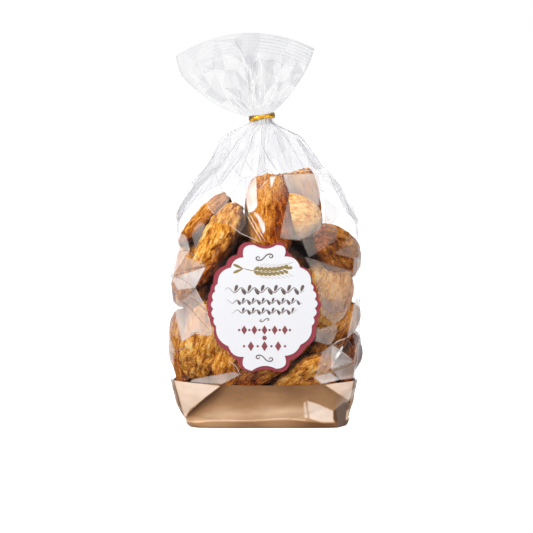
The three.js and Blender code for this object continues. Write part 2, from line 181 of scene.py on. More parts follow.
def noise(points, seed=0):
    """Gradient noise, about -1 to 1, at an (n, 3) array of points."""
    cell = np.floor(points).astype(np.int64)
    part = points - cell
    eased = part ** 3 * (part * (part * 6 - 15) + 10)
    total = np.zeros(len(points))
    for corner in itertools.product((0, 1), repeat=3):
        key = (((cell + corner) @ HASH + seed * 101159) & WORD).astype(np.uint64)
        for shift, stir in zip((15, 13), STIRS):
            key = ((key ^ (key >> np.uint64(shift))) * np.uint64(stir)) & np.uint64(WORD)
        key = (key ^ (key >> np.uint64(16))).astype(np.int64)
        slope = np.stack([key & 255, (key >> 8) & 255, (key >> 16) & 255], 1) / 127.5 - 1
        weight = np.prod(np.where(corner, eased, 1 - eased), axis=1)
        total += weight * ((part - corner) * slope).sum(1)
    return total * 1.2


class Creases:
    """A net of folds over a flat field: corners joined by triangles, with given folds as edges."""

    def __init__(self, corners, folds, insets):
        points = [Vector(corner) for corner in corners]
        made = delaunay_2d_cdt(points, folds, [], 0, 1e-4)
        self.points = np.array([list(point) for point in made[0]])
        self.faces = np.array([face for face in made[2] if len(face) == 3])
        self.insets = np.array([max((insets[i] for i in sources), default=0.0) for sources in made[3]])

    def cover(self, across, up):
        """The triangle that each point of a field's grid is in, -1 for none, and its weights there."""
        owner = np.full(across.shape, -1)
        weights = np.zeros(across.shape + (3,))
        for index, face in enumerate(self.faces):
            a, b, c = self.points[face]
            box = (across >= min(a[0], b[0], c[0])) & (across <= max(a[0], b[0], c[0]))
            box &= (up >= min(a[1], b[1], c[1])) & (up <= max(a[1], b[1], c[1]))
            if not box.any():
                continue
            x, y = across[box], up[box]
            area = (b[0] - a[0]) * (c[1] - a[1]) - (c[0] - a[0]) * (b[1] - a[1])
            wb = ((x - a[0]) * (c[1] - a[1]) - (c[0] - a[0]) * (y - a[1])) / area
            wc = ((b[0] - a[0]) * (y - a[1]) - (x - a[0]) * (b[1] - a[1])) / area
            share = np.stack([1 - wb - wc, wb, wc], 1)
            inside = share.min(1) > -1e-6
            rows, columns = np.nonzero(box)
            owner[rows[inside], columns[inside]] = index
            weights[rows[inside], columns[inside]] = share[inside]
        return owner, weights

    def blend(self, values, owner, weights):
        """Values at the net's corners, carried to the points that cover() placed, and 0 off the net."""
        carried = (weights * values[self.faces[owner]]).sum(2)
        return np.where(owner >= 0, carried, 0)


def tiled_round(corners):
    """Corners of a field that runs once round the bag, with a copy of them before it and one after it."""
    return [(s + shift * GIRTH, z) for shift in (-1, 0, 1) for s, z in corners]


def spaced(taken, low, high, gap, count, draw):
    """Corners added to the taken ones, inside a box, each at least gap from all others."""
    kept = [tuple(point) for point in taken]
    for _ in range(count):
        point = tuple(draw.uniform(low, high))
        if all(math.dist(point, other) >= gap for other in kept):
            kept.append(point)
    return kept


def mesh_piece(name, points, faces, finish, slot, **values):
    """A smooth shaded mesh from points in millimetres, with its finish and the values that it reads."""
    mesh = bpy.data.meshes.new(name)
    mesh.from_pydata((np.asarray(points).reshape(-1, 3) * MM).tolist(), [], faces)
    mesh.shade_smooth()
    for key, value in values.items():
        flat = np.asarray(value, np.float32)
        kind, field = ("FLOAT_VECTOR", "vector") if flat.ndim == 2 else ("FLOAT", "value")
        mesh.attributes.new(key, kind, "POINT").data.foreach_set(field, flat.ravel())
    mesh.materials.append(finish.material)
    piece = bpy.data.objects.new(name, mesh)
    bpy.context.scene.collection.objects.link(piece)
    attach(piece, "root")
    return piece


def ring_faces(rows, columns, closed=True):
    """Four-sided faces between rows of points, round a closed ring or along an open strip."""
    first = np.arange(rows - 1)[:, None] * columns + np.arange(columns if closed else columns - 1)[None]
    after = np.arange(rows - 1)[:, None] * columns + (np.arange(first.shape[1])[None] + 1) % columns
    return np.stack([first, after, after + columns, first + columns], 2).reshape(-1, 4).tolist()


class Wire:
    """A shader socket. Arithmetic on it adds Math nodes to the tree that it belongs to."""

    def __init__(self, nodes, socket):
        self.nodes = nodes
        self.socket = socket

    def calc(self, operation, first, second):
        return self.nodes.node("Math", {"operation": operation}, {0: first, 1: second})

    def most(self, other):
        return self.calc("MAXIMUM", self, other)

    def __add__(self, other):
        return self.calc("ADD", self, other)

    def __radd__(self, other):
        return self.calc("ADD", other, self)

    def __sub__(self, other):
        return self.calc("SUBTRACT", self, other)

    def __rsub__(self, other):
        return self.calc("SUBTRACT", other, self)

    def __mul__(self, other):
        return self.calc("MULTIPLY", self, other)

    def __rmul__(self, other):
        return self.calc("MULTIPLY", other, self)

    def __pow__(self, other):
        return self.calc("POWER", self, other)


class Nodes:
    """The nodes of one tree, wired up as they are added."""

    def __init__(self, tree):
        self.tree = tree
        tree.nodes.clear()

    def node(self, kind, settings=None, sockets=None, out=0):
        """Adds a node of a kind: its settings first, then a value or a wire for each of its sockets."""
        made = self.tree.nodes.new("ShaderNode" + kind)
        for key, value in (settings or {}).items():
            if key == "stops":
                while len(made.color_ramp.elements) < len(value):
                    made.color_ramp.elements.new(0.5)
                for stop, (place, color) in zip(made.color_ramp.elements, value):
                    stop.position = place
                    stop.color = color
            else:
                setattr(made, key, value)
        for key, value in (sockets or {}).items():
            if isinstance(value, Wire):
                self.tree.links.new(value.socket, made.inputs[key])
            else:
                made.inputs[key].default_value = value
        return Wire(self, made.outputs[out] if len(made.outputs) else None)

    def clamp(self, wire):
        return self.node("Clamp", sockets={0: wire})

    def value(self, name):
        """A value that the mesh carries."""
        return self.node("Attribute", {"attribute_name": name}, out=2)

    def mix(self, share, first, second):
        """A colour between two."""
        return self.node("Mix", {"data_type": "RGBA"}, {0: share, 6: first, 7: second}, out=2)

    def ramp(self, level, *stops):
        """A colour by level, from stops of a place and a colour."""
        return self.node("ValToRGB", {"stops": stops}, {0: level})


class Finish(Nodes):
    """A material and its nodes."""

    def __init__(self, name):
        self.material = bpy.data.materials.new(name)
        self.material.use_nodes = True
        super().__init__(self.material.node_tree)

    def cloud(self, scale, detail, place=None, **sockets):
        """Noise over the piece, in cells of about 1 / scale metres."""
        place = place or self.node("TexCoord", out=3)
        return self.node("TexNoise", sockets={"Vector": place, "Scale": scale, "Detail": detail, **sockets})

    def bump(self, height, strength, distance):
        return self.node("Bump", sockets={"Strength": strength, "Distance": distance, "Height": height})

    def principled(self, color, roughness, normal, **sockets):
        """The main shader. Other sockets are named with _ for each space."""
        named = {key.replace("_", " "): value for key, value in sockets.items()}
        return self.node("BsdfPrincipled", sockets={
            "Base Color": color, "Roughness": roughness, "Normal": normal, **named})

    def surface(self, shader):
        self.node("OutputMaterial", sockets={"Surface": shader})
        return self


def paint(red, green, blue):
    """A colour as a screen shows it, 0 to 255, turned to the light that it gives back."""
    levels = [level / 255 for level in (red, green, blue)]
    return tuple(v / 12.92 if v < 0.04045 else ((v + 0.055) / 1.055) ** 2.4 for v in levels) + (1.0,)


def inside_by(corners, x, z):
    """How far each point is inside an outline with straight sides, and negative outside it."""
    corners = np.array(corners)
    after = np.roll(corners, -1, 0)
    nearest = np.full(x.shape, 1e9)
    odd = np.zeros(x.shape, bool)
    for (ax, az), (bx, bz) in zip(corners, after):
        square = (bx - ax) ** 2 + (bz - az) ** 2
        along = np.clip(((x - ax) * (bx - ax) + (z - az) * (bz - az)) / square, 0, 1)
        nearest = np.minimum(nearest, np.hypot(x - ax - along * (bx - ax), z - az - along * (bz - az)))
        if az != bz:
            odd ^= ((az > z) != (bz > z)) & (x < (bx - ax) * (z - az) / (bz - az) + ax)
    return np.where(odd, nearest, -nearest)


def hump(value, middle, width):
    """1 at the middle, falling off smoothly on both sides."""
    return np.exp(-((value - middle) / width) ** 2)


def print_rise(x, y):
    """How far the print's edge lies above its middle on the front: it dips there a little, and behind."""
    return 2.4 * (np.minimum(np.abs(x), 54) / 54) ** 2 - 6.5 * ease(-24, 6, y)


def bronze_finish():
    bronze = Finish("bronze_print")
    place = bronze.node("TexCoord", out=3)
    cloud = bronze.cloud(55.0, 3.0, place)
    speck = bronze.cloud(2600.0, 1.0, place)
    # The print is coloured from dark brown to pale cream by its painted sheen: painted highlight and shade.
    sheen = bronze.clamp(bronze.value("sheen") + 0.16 * (cloud - 0.5))
    tone = bronze.ramp(
        sheen, (0.0, paint(58, 35, 18)), (0.25, paint(110, 74, 46)), (0.5, paint(162, 122, 86)),
        (0.75, paint(206, 170, 136)), (1.0, paint(238, 222, 212)))
    return bronze.surface(bronze.principled(
        tone, 0.34 + 0.1 * cloud, bronze.bump(speck, 0.08, 0.0002), Metallic=0.3, Coat_Weight=0.06,
        Coat_Roughness=0.12, Specular_IOR_Level=0.12))


# The front's flat facets, as their painted sheen, how softly they end, and their corners in the front view:
# those that face the light carry painted highlights, and the crumpled corner on the right painted shade.
PAINTED_BASE_FACETS = [
    (0.42, 5.0, [(34.4, -75.3), (51.8, -84.3), (41.5, -89.6), (26.4, -82.8)]),
    (0.87, 0.4, [(-57.4, -70.4), (-28.5, -74.1), (-47.7, -88.7), (-50.2, -93.9), (-53.0, -88.4)]),
    (0.86, 0.4, [(36.3, -73.5), (54.3, -69.8), (51.8, -83.7)]),
    (0.9, 0.4, [(25.1, -83.1), (32.6, -85.6), (41.5, -89.6), (41.5, -94.6), (44.0, -98.9), (34.4, -96.7),
        (26.7, -94.3)]),
    (0.12, 0.5, [(41.5, -89.6), (48.1, -84.0), (52.1, -84.3), (52.4, -92.1), (51.2, -97.7), (44.0, -99.5),
        (41.5, -94.6)]),
    (0.05, 1.0, [(47.5, -85.0), (52.1, -84.3), (51.5, -89.0), (49.6, -89.0)]),
    (0.85, 0.4, [(49.6, -89.6), (51.5, -87.7), (50.8, -95.2), (49.0, -95.2)]),
    (0.24, 0.4, [(-59.2, -70.4), (-57.2, -71.0), (-50.8, -93.9), (-52.4, -93.9)]),
    (0.2, 0.4, [(54.3, -69.8), (57.7, -69.8), (53.8, -85.3), (51.8, -84.0)]),
    (0.86, 0.5, [(22.9, -84.6), (24.4, -83.7), (25.6, -93.9), (23.6, -93.9)]),
]
SHADED_EDGE = ((-28.5, -74.1), (-49.9, -93.3))  # the fold beside the left facet, with painted shade on its right
# The front right corner is pressed in, to a line through these two points.
PRESSED_CORNER = ((43.0, -28.4), (51.5, -14.0))
FOOT_STRIP = 4.2  # height of the folded edge that shows along the foot
# The front's stiff folds: their corners, as distance from the middle, height and inset, and which of them
# they join.
STIFF_CORNERS = [
    (-58.5, 27.5, 0.2), (-27.7, 27.3, 0), (-50.5, 7.6, 1.6), (33.5, 27.3, 0), (54.2, 27.4, 0.2),
    (52.2, 17.7, 0.8), (25, 18.3, 0.1), (41.5, 13.5, 1.6), (42.6, 4.6, 0.4), (26.6, 8.6, 1.2),
    (-8, 12, 0.9), (8, 22, 0.4), (-28, 9, 0.3), (2, 5, 0),
]
STIFF_FOLDS = ((0, 1), (1, 2), (0, 2), (6, 7), (7, 8), (8, 9), (9, 6), (3, 5), (4, 5))
RIM_STEP = 17  # spacing of the corners that a net of folds has along its top and its bottom


def bottom_net(draw):
    """The folds all round the printed shell: the stiff ones on the front, and others between them."""
    low, high = (-GIRTH / 2, FOOT_STRIP), (GIRTH / 2, PRINT_TOP)
    inner = spaced([corner[:2] for corner in STIFF_CORNERS], low, high, 10, 500, draw)
    insets = [corner[2] for corner in STIFF_CORNERS]
    insets += list(draw.uniform(0, 1.5, len(inner) - len(insets)))
    edge = [(s, z) for s in np.arange(-GIRTH / 2, GIRTH / 2 + 1, RIM_STEP)
            for z in (FOOT_STRIP - 0.1, PRINT_TOP + 0.1)]
    count = len(inner + edge)
    folds = [(count + a, count + b) for a, b in STIFF_FOLDS]
    return Creases(tiled_round(inner + edge), folds, (insets + [0.0] * len(edge)) * 3)


def block_bottom():
    """The printed shell, open at its top, where the clear film goes on from it, and its painted sheen."""
    places = spread_round(COLUMNS, FRONT_SHARE)
    heights = np.concatenate([[0, 0.4, 1, 2, 3, 3.8, 4.3, 4.8], np.linspace(5.2, PRINT_TOP, 56)])
    rings = skin_rings(heights, places)
    across = np.tile((places - 0.5) * GIRTH, (len(heights), 1))
    up = rings[..., 2].copy()
    net = bottom_net(np.random.default_rng(11))
    inset = net.blend(net.insets, *net.cover(across, up))
    inset[up < FOOT_STRIP] = 0
    crumple = noise((rings / (6, 6, 4)).reshape(-1, 3), 3).reshape(up.shape)
    inset += 0.5 * crumple * ease(FOOT_STRIP, FOOT_STRIP + 3, up) * (1 - ease(PRINT_TOP - 4, PRINT_TOP, up))
    above_strip = up - (FOOT_STRIP + 0.8 * np.sin(across / 21 + 1.4) + 0.5 * np.sin(across / 8))
    inset -= 1.0 * (1 - ease(-0.5, 0.4, above_strip)) * ease(0, 0.8, up)
    shell = rings - outward(rings) * inset[..., None]
    (ax, ay), (bx, by) = PRESSED_CORNER
    off = np.array([by - ay, ax - bx]) / math.hypot(bx - ax, by - ay)
    beyond = np.clip((shell[..., :2] - (ax, ay)) @ off, 0, None)
    beyond *= (1 - ease(12, 24, up)) * (shell[..., 0] > 0)
    shell[..., :2] -= beyond[..., None] * off
    shell[..., 2] += print_rise(shell[..., 0], shell[..., 1]) * (shell[..., 2] / PRINT_TOP) ** 2

    sheen = bottom_sheen(shell, up, above_strip, 0.42 + 0.12 * crumple + 0.1 * np.sin(4 * math.pi * places))
    middle = shell[0].mean(0)
    under = np.stack([middle + (shell[0] - middle) * share for share in (0.01, 0.3, 0.6, 0.85, 0.96)])
    sheen = np.concatenate([np.repeat(sheen[:1], len(under), 0), sheen])
    return np.concatenate([under, shell]), np.clip(sheen, 0, 1)


def bottom_sheen(shell, up, above_strip, plain):
    """Painted highlight and shade on the print, 0 to 1: plain behind, by facets and soft lights in front.
    """
    x, y, z = shell[..., 0], shell[..., 1], shell[..., 2]
    # Painted shade and highlight: darker towards the print's top, a lighter band low down, and a light
    # spot.
    slope = 0.5 - 0.2 * ease(12, 27, z) + 0.22 * hump(z, 9.5 + 0.05 * x, 4.5) * (1 - ease(20, 40, x))
    slope += 0.06 * np.sin(x / 9) * np.sin(z / 5 + x / 17) + 0.1 * hump(x, 6, 9) * hump(z, 21, 4)
    seen = np.stack(front_view(shell), 2)
    start, end = np.array(SHADED_EDGE)
    run = (end - start) / np.linalg.norm(end - start)
    beside = (seen - start) @ np.array([-run[1], run[0]])
    # Painted shade to the right of the fold beside the left facet.
    shade = np.exp(-np.clip(beside, 0, None) / 4) * (beside > -1)
    slope -= 0.5 * shade * (1 - ease(-34, -20, x)) * ease(4, 8, z)
    for sheen, soft, outline in PAINTED_BASE_FACETS:
        slope += (sheen - slope) * ease(-soft, soft, inside_by(outline, seen[..., 0], seen[..., 1]))
    # The folded strip along the foot is painted darker, with a painted highlight along its upper edge on
    # the left.
    strip_painted_shade = 0.46 - 0.16 * ease(-10, 30, x) + 0.08 * np.sin(x / 7)
    slope += (strip_painted_shade - slope) * (1 - ease(-0.3, 0.5, above_strip)) * (1 - ease(42, 46, x))
    slope += 0.25 * hump(above_strip, 0.6, 0.35) * (x < 24)
    # The very bottom is painted darker still.
    slope -= 0.22 * (1 - ease(0.2, 1.1, up))
    return plain + (slope - plain) * ease(-12, -18, y)


base_shell, base_sheen = block_bottom()
base_piece = mesh_piece("bronze_bottom", base_shell, ring_faces(*base_shell.shape[:2]), bronze_finish(),
                        "bronze_print", sheen=base_sheen.ravel())
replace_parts(base_piece, "bronze_base")

# ---- biscuits ----------------------------------------------------------------------------------
# About thirty-five rustic biscuits lie loose in the bag: long ovals of coarse dough with torn, lengthwise
# ridges, cracked by the oven and browned darker at their ends. The front ones stand against the film, and
# the rest fill in behind.

# Front biscuits, listed one by one. place is the middle; size is length, width and thickness; lean is
# the tilt of the long way from upright to the right, back how far its top leans away, turn its swing about
# the upright, and roll about itself. torn is how deep its ridges are, brown how dark it is baked, set
# higher as painted shade on some that lie in shade, shade how much painted shade darkens it towards its
# lower right, and cut the share of its upper half at which it is broken off.
USUAL = dict(back=0, turn=0, roll=0, torn=0.7, shade=0.4, cut=None)
FRONT_BISCUITS = [
    dict(USUAL, place=(-38, -15, 126.5), size=(46, 13, 14.5), lean=43, back=8, turn=-10, brown=0.45,
         cut=0.84),
    dict(USUAL, place=(-31, -24, 112.3), size=(58, 21, 17.5), lean=28, back=7, torn=1.15, brown=0.1,
         shade=1.0),
    dict(USUAL, place=(-39, -14, 79), size=(58, 26, 18), lean=6, turn=-15, roll=20, torn=1.0, brown=0.9),
    dict(USUAL, place=(3.6, -16.5, 128.6), size=(62, 29, 18), lean=2, back=13, torn=0.5, brown=0.4,
         shade=0.8, cut=0.82),
    dict(USUAL, place=(20, -3, 137.2), size=(70, 26, 16), lean=0, back=3, turn=8, torn=0.6, brown=0.35,
         cut=0.56),
    dict(USUAL, place=(12, -16, 129.2), size=(42, 31, 17), lean=102, turn=-6, torn=0.3, brown=-0.1),
    dict(USUAL, place=(43, -14, 106), size=(52, 30, 18), lean=112, turn=44, roll=-12, brown=0.45),
    dict(USUAL, place=(36.5, -18, 78.5), size=(50, 36, 18), lean=10, turn=24, brown=0.0),
    dict(USUAL, place=(38.5, -16, 57), size=(50, 20, 17), lean=30, turn=25, brown=0.5),
    dict(USUAL, place=(31, -24, 29), size=(54, 20, 17), lean=4, back=4, turn=10, torn=0.5, brown=0.75),
    dict(USUAL, place=(50, -9, 31), size=(56, 22, 17), lean=-2, turn=55, brown=0.9),
    dict(USUAL, place=(21.5, -25, 28), size=(52, 24, 17), lean=62, turn=5, torn=1.0, brown=0.4),
    dict(USUAL, place=(4.5, -24, 40), size=(57, 19, 16), lean=59, torn=0.8, brown=0.45),
    dict(USUAL, place=(-17, -23, 26), size=(58, 20, 17), lean=86, torn=0.8, brown=0.7),
    dict(USUAL, place=(-34, -23.5, 52), size=(54, 33, 18), lean=2, turn=-12, torn=1.35, brown=0.1),
    dict(USUAL, place=(-44, -13, 97), size=(54, 24, 17), lean=4, turn=-42, brown=0.35),
    dict(USUAL, place=(-50, -6, 45), size=(54, 24, 17), lean=6, turn=-52, torn=0.8, brown=0.4),
    dict(USUAL, place=(-20, -24, 47), size=(54, 26, 16), lean=14, torn=0.9, brown=0.35),
    dict(USUAL, place=(38, 2, 70), size=(56, 24, 17), lean=-8, turn=60, brown=0.6),
]
BACK_BISCUITS = [  # and two more, listed one by one, behind the gaps between them
    dict(USUAL, place=(-14, 15, 113), size=(58, 27, 18), lean=66, torn=0.8, brown=0.4),
    dict(USUAL, place=(14, 17, 103), size=(58, 27, 18), lean=75, torn=0.8, brown=0.5),
]
INSIDE_COUNT = 18  # how many start behind the front ones, with those two
INSIDE_BOX = ((-42, -24, 16), (42, 26, 116))  # the corners of the space in which they start
INSIDE_SIZES = ((55, 24, 16.5), (63, 28, 19))  # the smallest and the largest of them
INSIDE_TOP = 118.0  # one that ends with its middle line above this is taken out again
CRUST_GAP = 0.5  # air between a biscuit and the film's plain form
HAND_HOLD = 0.22  # how firmly a listed biscuit is drawn back to its place, at each step
SETTLING = 320  # steps in which the biscuits are eased apart
SINKING = 200  # and the first of them, in which those inside also sink
HEART = (0, 0, 80)  # the middle of the filled part
SPOKES = 72  # points round the plain form that they settle in


def turned(lean, back, turn, roll):
    """The turning of a biscuit that starts upright with its broad face to the front."""
    def about(axis, degrees):
        c, s = math.cos(math.radians(degrees)), math.sin(math.radians(degrees))
        i, j = [(1, 2), (2, 0), (0, 1)][axis]
        matrix = np.eye(3)
        matrix[i, i] = matrix[j, j] = c
        matrix[i, j], matrix[j, i] = -s, s
        return matrix
    # Length up, width across, and the broad face forward.
    upright = np.array([[0, -1, 0], [0, 0, -1], [1, 0, 0]], float)
    return about(2, turn) @ about(1, lean) @ about(0, -back) @ about(2, roll) @ upright


def stand_ins(size):
    """Balls that fill a biscuit, as (x, y, z, radius), by which it is settled against its neighbours."""
    length, width, thick = size
    balls = []
    for share in (-1, -0.52, 0, 0.52, 1):
        radius = thick / 2 * (1 - 0.2 * share ** 2)
        beside = (width - thick) / 2 * (1 - 0.55 * share ** 2)
        for side in ((-1, 1) if beside > 1 else (0,)):
            balls.append((share * (length / 2 - radius * 0.95), side * beside, 0, radius))
    return np.array(balls)


def end_faces(rows, columns):
    """Triangles that shut the first and the last ring, to two points that come after all the rings."""
    last = rows * columns
    low = [[(k + 1) % columns, k, last] for k in range(columns)]
    start = last - columns
    return low + [[start + k, start + (k + 1) % columns, last + 1] for k in range(columns)]


def closed_form():
    """The bag's plain form as a shut surface, drawn in on both sides where no biscuit fills it."""
    form = skin_rings(np.concatenate([[1.0], np.arange(5, 160, 5)]), np.arange(SPOKES) / SPOKES)
    rightmost, leftmost = form[..., 0] > 20, form[..., 0] < -20
    form[..., 0] -= 6 * hump(form[..., 2], 80, 14) * rightmost
    form[..., 0] += 5 * hump(form[..., 2], 72, 8) * leftmost
    points = np.concatenate([form.reshape(-1, 3), [form[0].mean(0)], [form[-1].mean(0)]])
    faces = ring_faces(form.shape[0], SPOKES) + end_faces(form.shape[0], SPOKES)
    return BVHTree.FromPolygons(points.tolist(), faces)


def all_rows(draw):
    """The listed biscuits, and others one by one wherever there is most room for one more."""
    biscuits = [dict(row, hold=HAND_HOLD) for row in FRONT_BISCUITS + BACK_BISCUITS]

    def room(spot):
        return min(np.linalg.norm((spot - row["place"]) * (1, 1.3, 0.8)) for row in biscuits)

    while len(biscuits) < len(FRONT_BISCUITS) + INSIDE_COUNT:
        place = max([draw.uniform(*INSIDE_BOX) for _ in range(40)], key=room)
        size = draw.uniform(*INSIDE_SIZES)
        biscuits.append(dict(USUAL, place=tuple(place), size=tuple(size), lean=draw.uniform(0, 180),
                             turn=draw.uniform(-35, 35), torn=draw.uniform(0.4, 1.2),
                             brown=0.2 + 0.15 * (len(biscuits) % 3), hold=0.0))
    return biscuits


def settle():
    """Fills the bag behind the front biscuits, and eases all of them apart and off the film."""
    skin = closed_form()
    biscuits = all_rows(np.random.default_rng(5))
    spots = np.array([row["place"] for row in biscuits], float)
    homes = spots.copy()
    turns = np.array([turned(row["lean"], row["back"], row["turn"], row["roll"]) for row in biscuits])
    balls = [stand_ins(row["size"]) for row in biscuits]
    owner = np.concatenate([[i] * len(ball) for i, ball in enumerate(balls)])
    local = np.concatenate(balls)
    hold = np.array([row["hold"] for row in biscuits])
    yielding = np.where(hold > 0, 0.25, 1.0)
    apart = owner[:, None] != owner[None]
    reach = local[:, 3][:, None] + local[:, 3][None]
    for step in range(SETTLING):
        if step < SINKING:
            spots[hold == 0] += (0, 0, -0.25)
        arms = np.einsum("nij,nj->ni", turns[owner], local[:, :3])
        at = spots[owner] + arms
        gap = at[:, None] - at[None]
        far = np.linalg.norm(gap, axis=2) + 1e-9
        deep = np.where(apart, np.clip(reach * 0.98 - far, 0, None), 0)
        push = (gap / far[..., None] * deep[..., None]).sum(1) * 0.5
        for k, point in enumerate(at):
            hit, _, _, distance = skin.find_nearest(Vector(point))
            inside = (Vector(point) - hit).dot(Vector(HEART - point)) > 0
            short = local[k, 3] + CRUST_GAP - (distance if inside else -distance)
            if short > 0:
                inward = (Vector(point) - hit).normalized() * (1 if inside else -1)
                push[k] += np.array(inward) * short
        move = np.zeros_like(spots)
        twist = np.zeros_like(spots)
        np.add.at(move, owner, push)
        np.add.at(twist, owner, np.cross(arms, push))
        spots += np.clip(move * 0.35, -2, 2) * yielding[:, None]
        spots += (homes - spots) * hold[:, None]
        for k in range(len(biscuits)):
            spin = np.clip(twist[k] / 900, -0.05, 0.05) * (yielding[k] if hold[k] == 0 else 0.01)
            angle = np.linalg.norm(spin)
            if angle > 1e-7:
                n = spin / angle
                cross = np.array([[0, -n[2], n[1]], [n[2], 0, -n[0]], [-n[1], n[0], 0]])
                nudge = np.eye(3) + math.sin(angle) * cross + (1 - math.cos(angle)) * cross @ cross
                turns[k] = nudge @ turns[k]
    tops = [(ball[:, :3] @ turn.T)[:, 2].max() + spot[2] for ball, turn, spot in zip(balls, turns, spots)]
    kept = [k for k, top in enumerate(tops) if hold[k] > 0 or top < INSIDE_TOP]
    return [biscuits[k] for k in kept], spots[kept], turns[kept]


def painted_occlusion(points, out, others):
    """How open each point of a biscuit is to the light among its neighbours' balls, 0 to 1, for painted
    shade.
    """
    openness = np.ones(len(points))
    for x, y, z, radius in others:
        gap = np.array([x, y, z]) - points
        far = np.linalg.norm(gap, axis=1) + 1e-6
        facing = np.clip((gap * out).sum(1) / far + 0.25, 0, 1)
        openness *= 1 - 0.5 * facing * np.clip((radius / far) ** 2, 0, 1)
    return openness


def biscuit(row, seed, rings, sides):
    """One biscuit about its own middle, long along x, with its relief, crust colours and painted shade."""
    draw = np.random.default_rng(seed)
    length, width, thick = row["size"]
    torn, cut = row["torn"], row["cut"]
    along = np.sin(np.linspace(-1, 1, rings + 2)[1:-1] * math.pi / 2)
    around = np.arange(sides) / sides * 2 * math.pi
    around += 0.45 * np.cos(around)  # closer together on the face that shows
    full = np.sqrt(1 - np.abs(along) ** 2.5)
    taper = 1 + draw.uniform(-0.14, 0.14) * along
    c, s = np.cos(around), np.sin(around)
    y = np.sign(c) * np.abs(c) ** 0.86
    z = np.sign(s) * np.abs(s) ** 0.9 * np.where(s < 0, 0.82, 1)
    points = np.zeros((rings, sides, 3))
    points[..., 0] = along[:, None] * length / 2
    points[..., 1] = (full * taper)[:, None] * y * width / 2
    points[..., 2] = full[:, None] * z * thick / 2
    points[..., 2] += draw.uniform(-1.5, 1.5) * (along ** 2 - 0.3)[:, None]
    points[..., 1] += draw.uniform(-2, 2) * (along ** 2 - 0.3)[:, None]
    points = np.concatenate([points.reshape(-1, 3), [[-length / 2, 0, 0], [length / 2, 0, 0]]])
    out = points / (np.array([length, width, thick]) / 2) ** 2
    out /= np.linalg.norm(out, axis=1, keepdims=True)

    swirl = noise(points / 12 + 7, seed) * 2.2
    bent = points + np.stack([0 * swirl, swirl, -swirl], 1)
    lumps = noise(points / 9, seed + 1)
    fibres = np.sqrt(np.abs(noise(bent / (9, 3.4, 3.4), seed + 2)))
    strands = np.sqrt(np.abs(noise(bent / (4, 1.7, 1.7), seed + 3)))
    cleft = hump(noise(bent / (26, 7.5, 7.5), seed + 4), 0, 0.06)
    cleft *= np.clip(noise(points / 15, seed + 5) * 3 + 0.3, 0, 1)
    across = hump(noise(bent / (5, 12, 12), seed + 6), 0, 0.05)
    across *= np.clip(noise(points / 8, seed + 7) * 3 - 0.3, 0, 1)
    pits = noise(points / 1.4, seed + 8)
    ridges_up = 1.5 * (fibres - 0.5) + 0.6 * (strands - 0.5)
    relief = 0.6 * lumps + torn * (ridges_up - 1.2 * cleft - 0.6 * across)
    relief += 0.16 * pits
    points = points + out * relief[:, None]
    if cut:
        rough = 0.08 * noise(points / 5, seed + 9)
        face = length / 2 * (cut + rough + 0.04 * noise(points / 1.6, seed + 10))
        points[:, 0] = np.minimum(points[:, 0], face)
    # Crust height, 0 in cracks, 1 on ridges: painted shade in the cracks, painted highlight on the ridges.
    high = 0.5 + torn * (0.75 * (fibres - 0.5) + 0.5 * (strands - 0.5) - 0.5 * cleft - 0.35 * across)
    crust = np.clip(high + 0.1 * lumps + 0.08 * pits, 0, 1)
    ends = np.abs(points[:, 0] / (length / 2)) ** 5
    # Painted shade: the lower right, away from the lamp on the left, is darkened by the row's shade.
    low_right = -(points[:, 0] / length + points[:, 1] / width)
    bake = row["brown"] + 0.3 * ends + row["shade"] * ease(-0.2, 0.5, low_right)
    bake = np.clip(bake + 0.35 * noise(points / 11, seed + 11), 0, 1)
    return points, ring_faces(rings, sides) + end_faces(rings, sides), crust, bake, out


def crust_finish():
    crust = Finish("biscuit_crust")
    grain = crust.node("Attribute", {"attribute_name": "grain"}, out=1)
    stretched = crust.node("VectorMath", {"operation": "MULTIPLY"}, {0: grain, 1: (0.3, 1.0, 1.0)})
    strands = crust.cloud(0.55, 4.0, stretched, Roughness=0.65, Distortion=0.6)
    crumbs = crust.cloud(1.0, 4.0, grain, Roughness=0.65)
    bake = crust.value("bake")
    # The noise that raises the bump also lightens the colour: painted shade in hollows, painted highlight
    # on crests.
    fine = 2.0 * (strands - 0.5) + 1.1 * (crumbs - 0.5)
    level = crust.clamp(0.75 * crust.value("crust") + fine + 0.3 - 0.25 * bake)
    # Golden crust and deep brown crust, mixed by baking and painted shade.
    light = crust.ramp(
        level, (0.0, paint(112, 48, 12)), (0.2, paint(176, 98, 26)), (0.45, paint(226, 150, 50)),
        (0.7, paint(248, 190, 92)), (0.95, paint(255, 226, 158)))
    dark = crust.ramp(
        level, (0.0, paint(70, 22, 4)), (0.3, paint(126, 54, 10)), (0.6, paint(180, 92, 24)),
        (0.9, paint(218, 138, 52)))
    painted_gap_shade = paint(58, 24, 10)  # painted shade deep between the biscuits, where no light gets in
    # The less open a point is, the more it is painted that dark brown: painted shade between the biscuits.
    color = crust.mix(crust.clamp(1.75 * crust.value("open") - 0.3), painted_gap_shade, crust.mix(bake, light, dark))
    bump = crust.bump(1.2 * strands + 0.6 * crumbs, 0.8, 0.0012)
    return crust.surface(crust.principled(color, 0.7 + 0.2 * crumbs, bump, Specular_IOR_Level=0.04))


def kept_in(points):
    """Biscuit points drawn in, and lifted, where they would stand out of the stiff printed foot."""
    points[:, 2] = np.maximum(points[:, 2], 0.9)
    turns = (np.degrees(np.arctan2(points[:, 1], points[:, 0])) - 90) % 360
    rows = np.clip((points[:, 2] - skin_heights[0]) / SKIN_STEP, 0, len(skin_heights) - 1).astype(int)
    room = skin_reach[rows, turns.astype(int) % BEARINGS] - 3.2
    far = np.hypot(points[:, 0], points[:, 1])
    drawn = np.minimum(1, room / np.maximum(far, 1))
    share = 1 - ease(PRINT_TOP + 1, PRINT_TOP + 14, points[:, 2])
    points[:, :2] *= (1 + (drawn - 1) * share)[:, None]
    return points


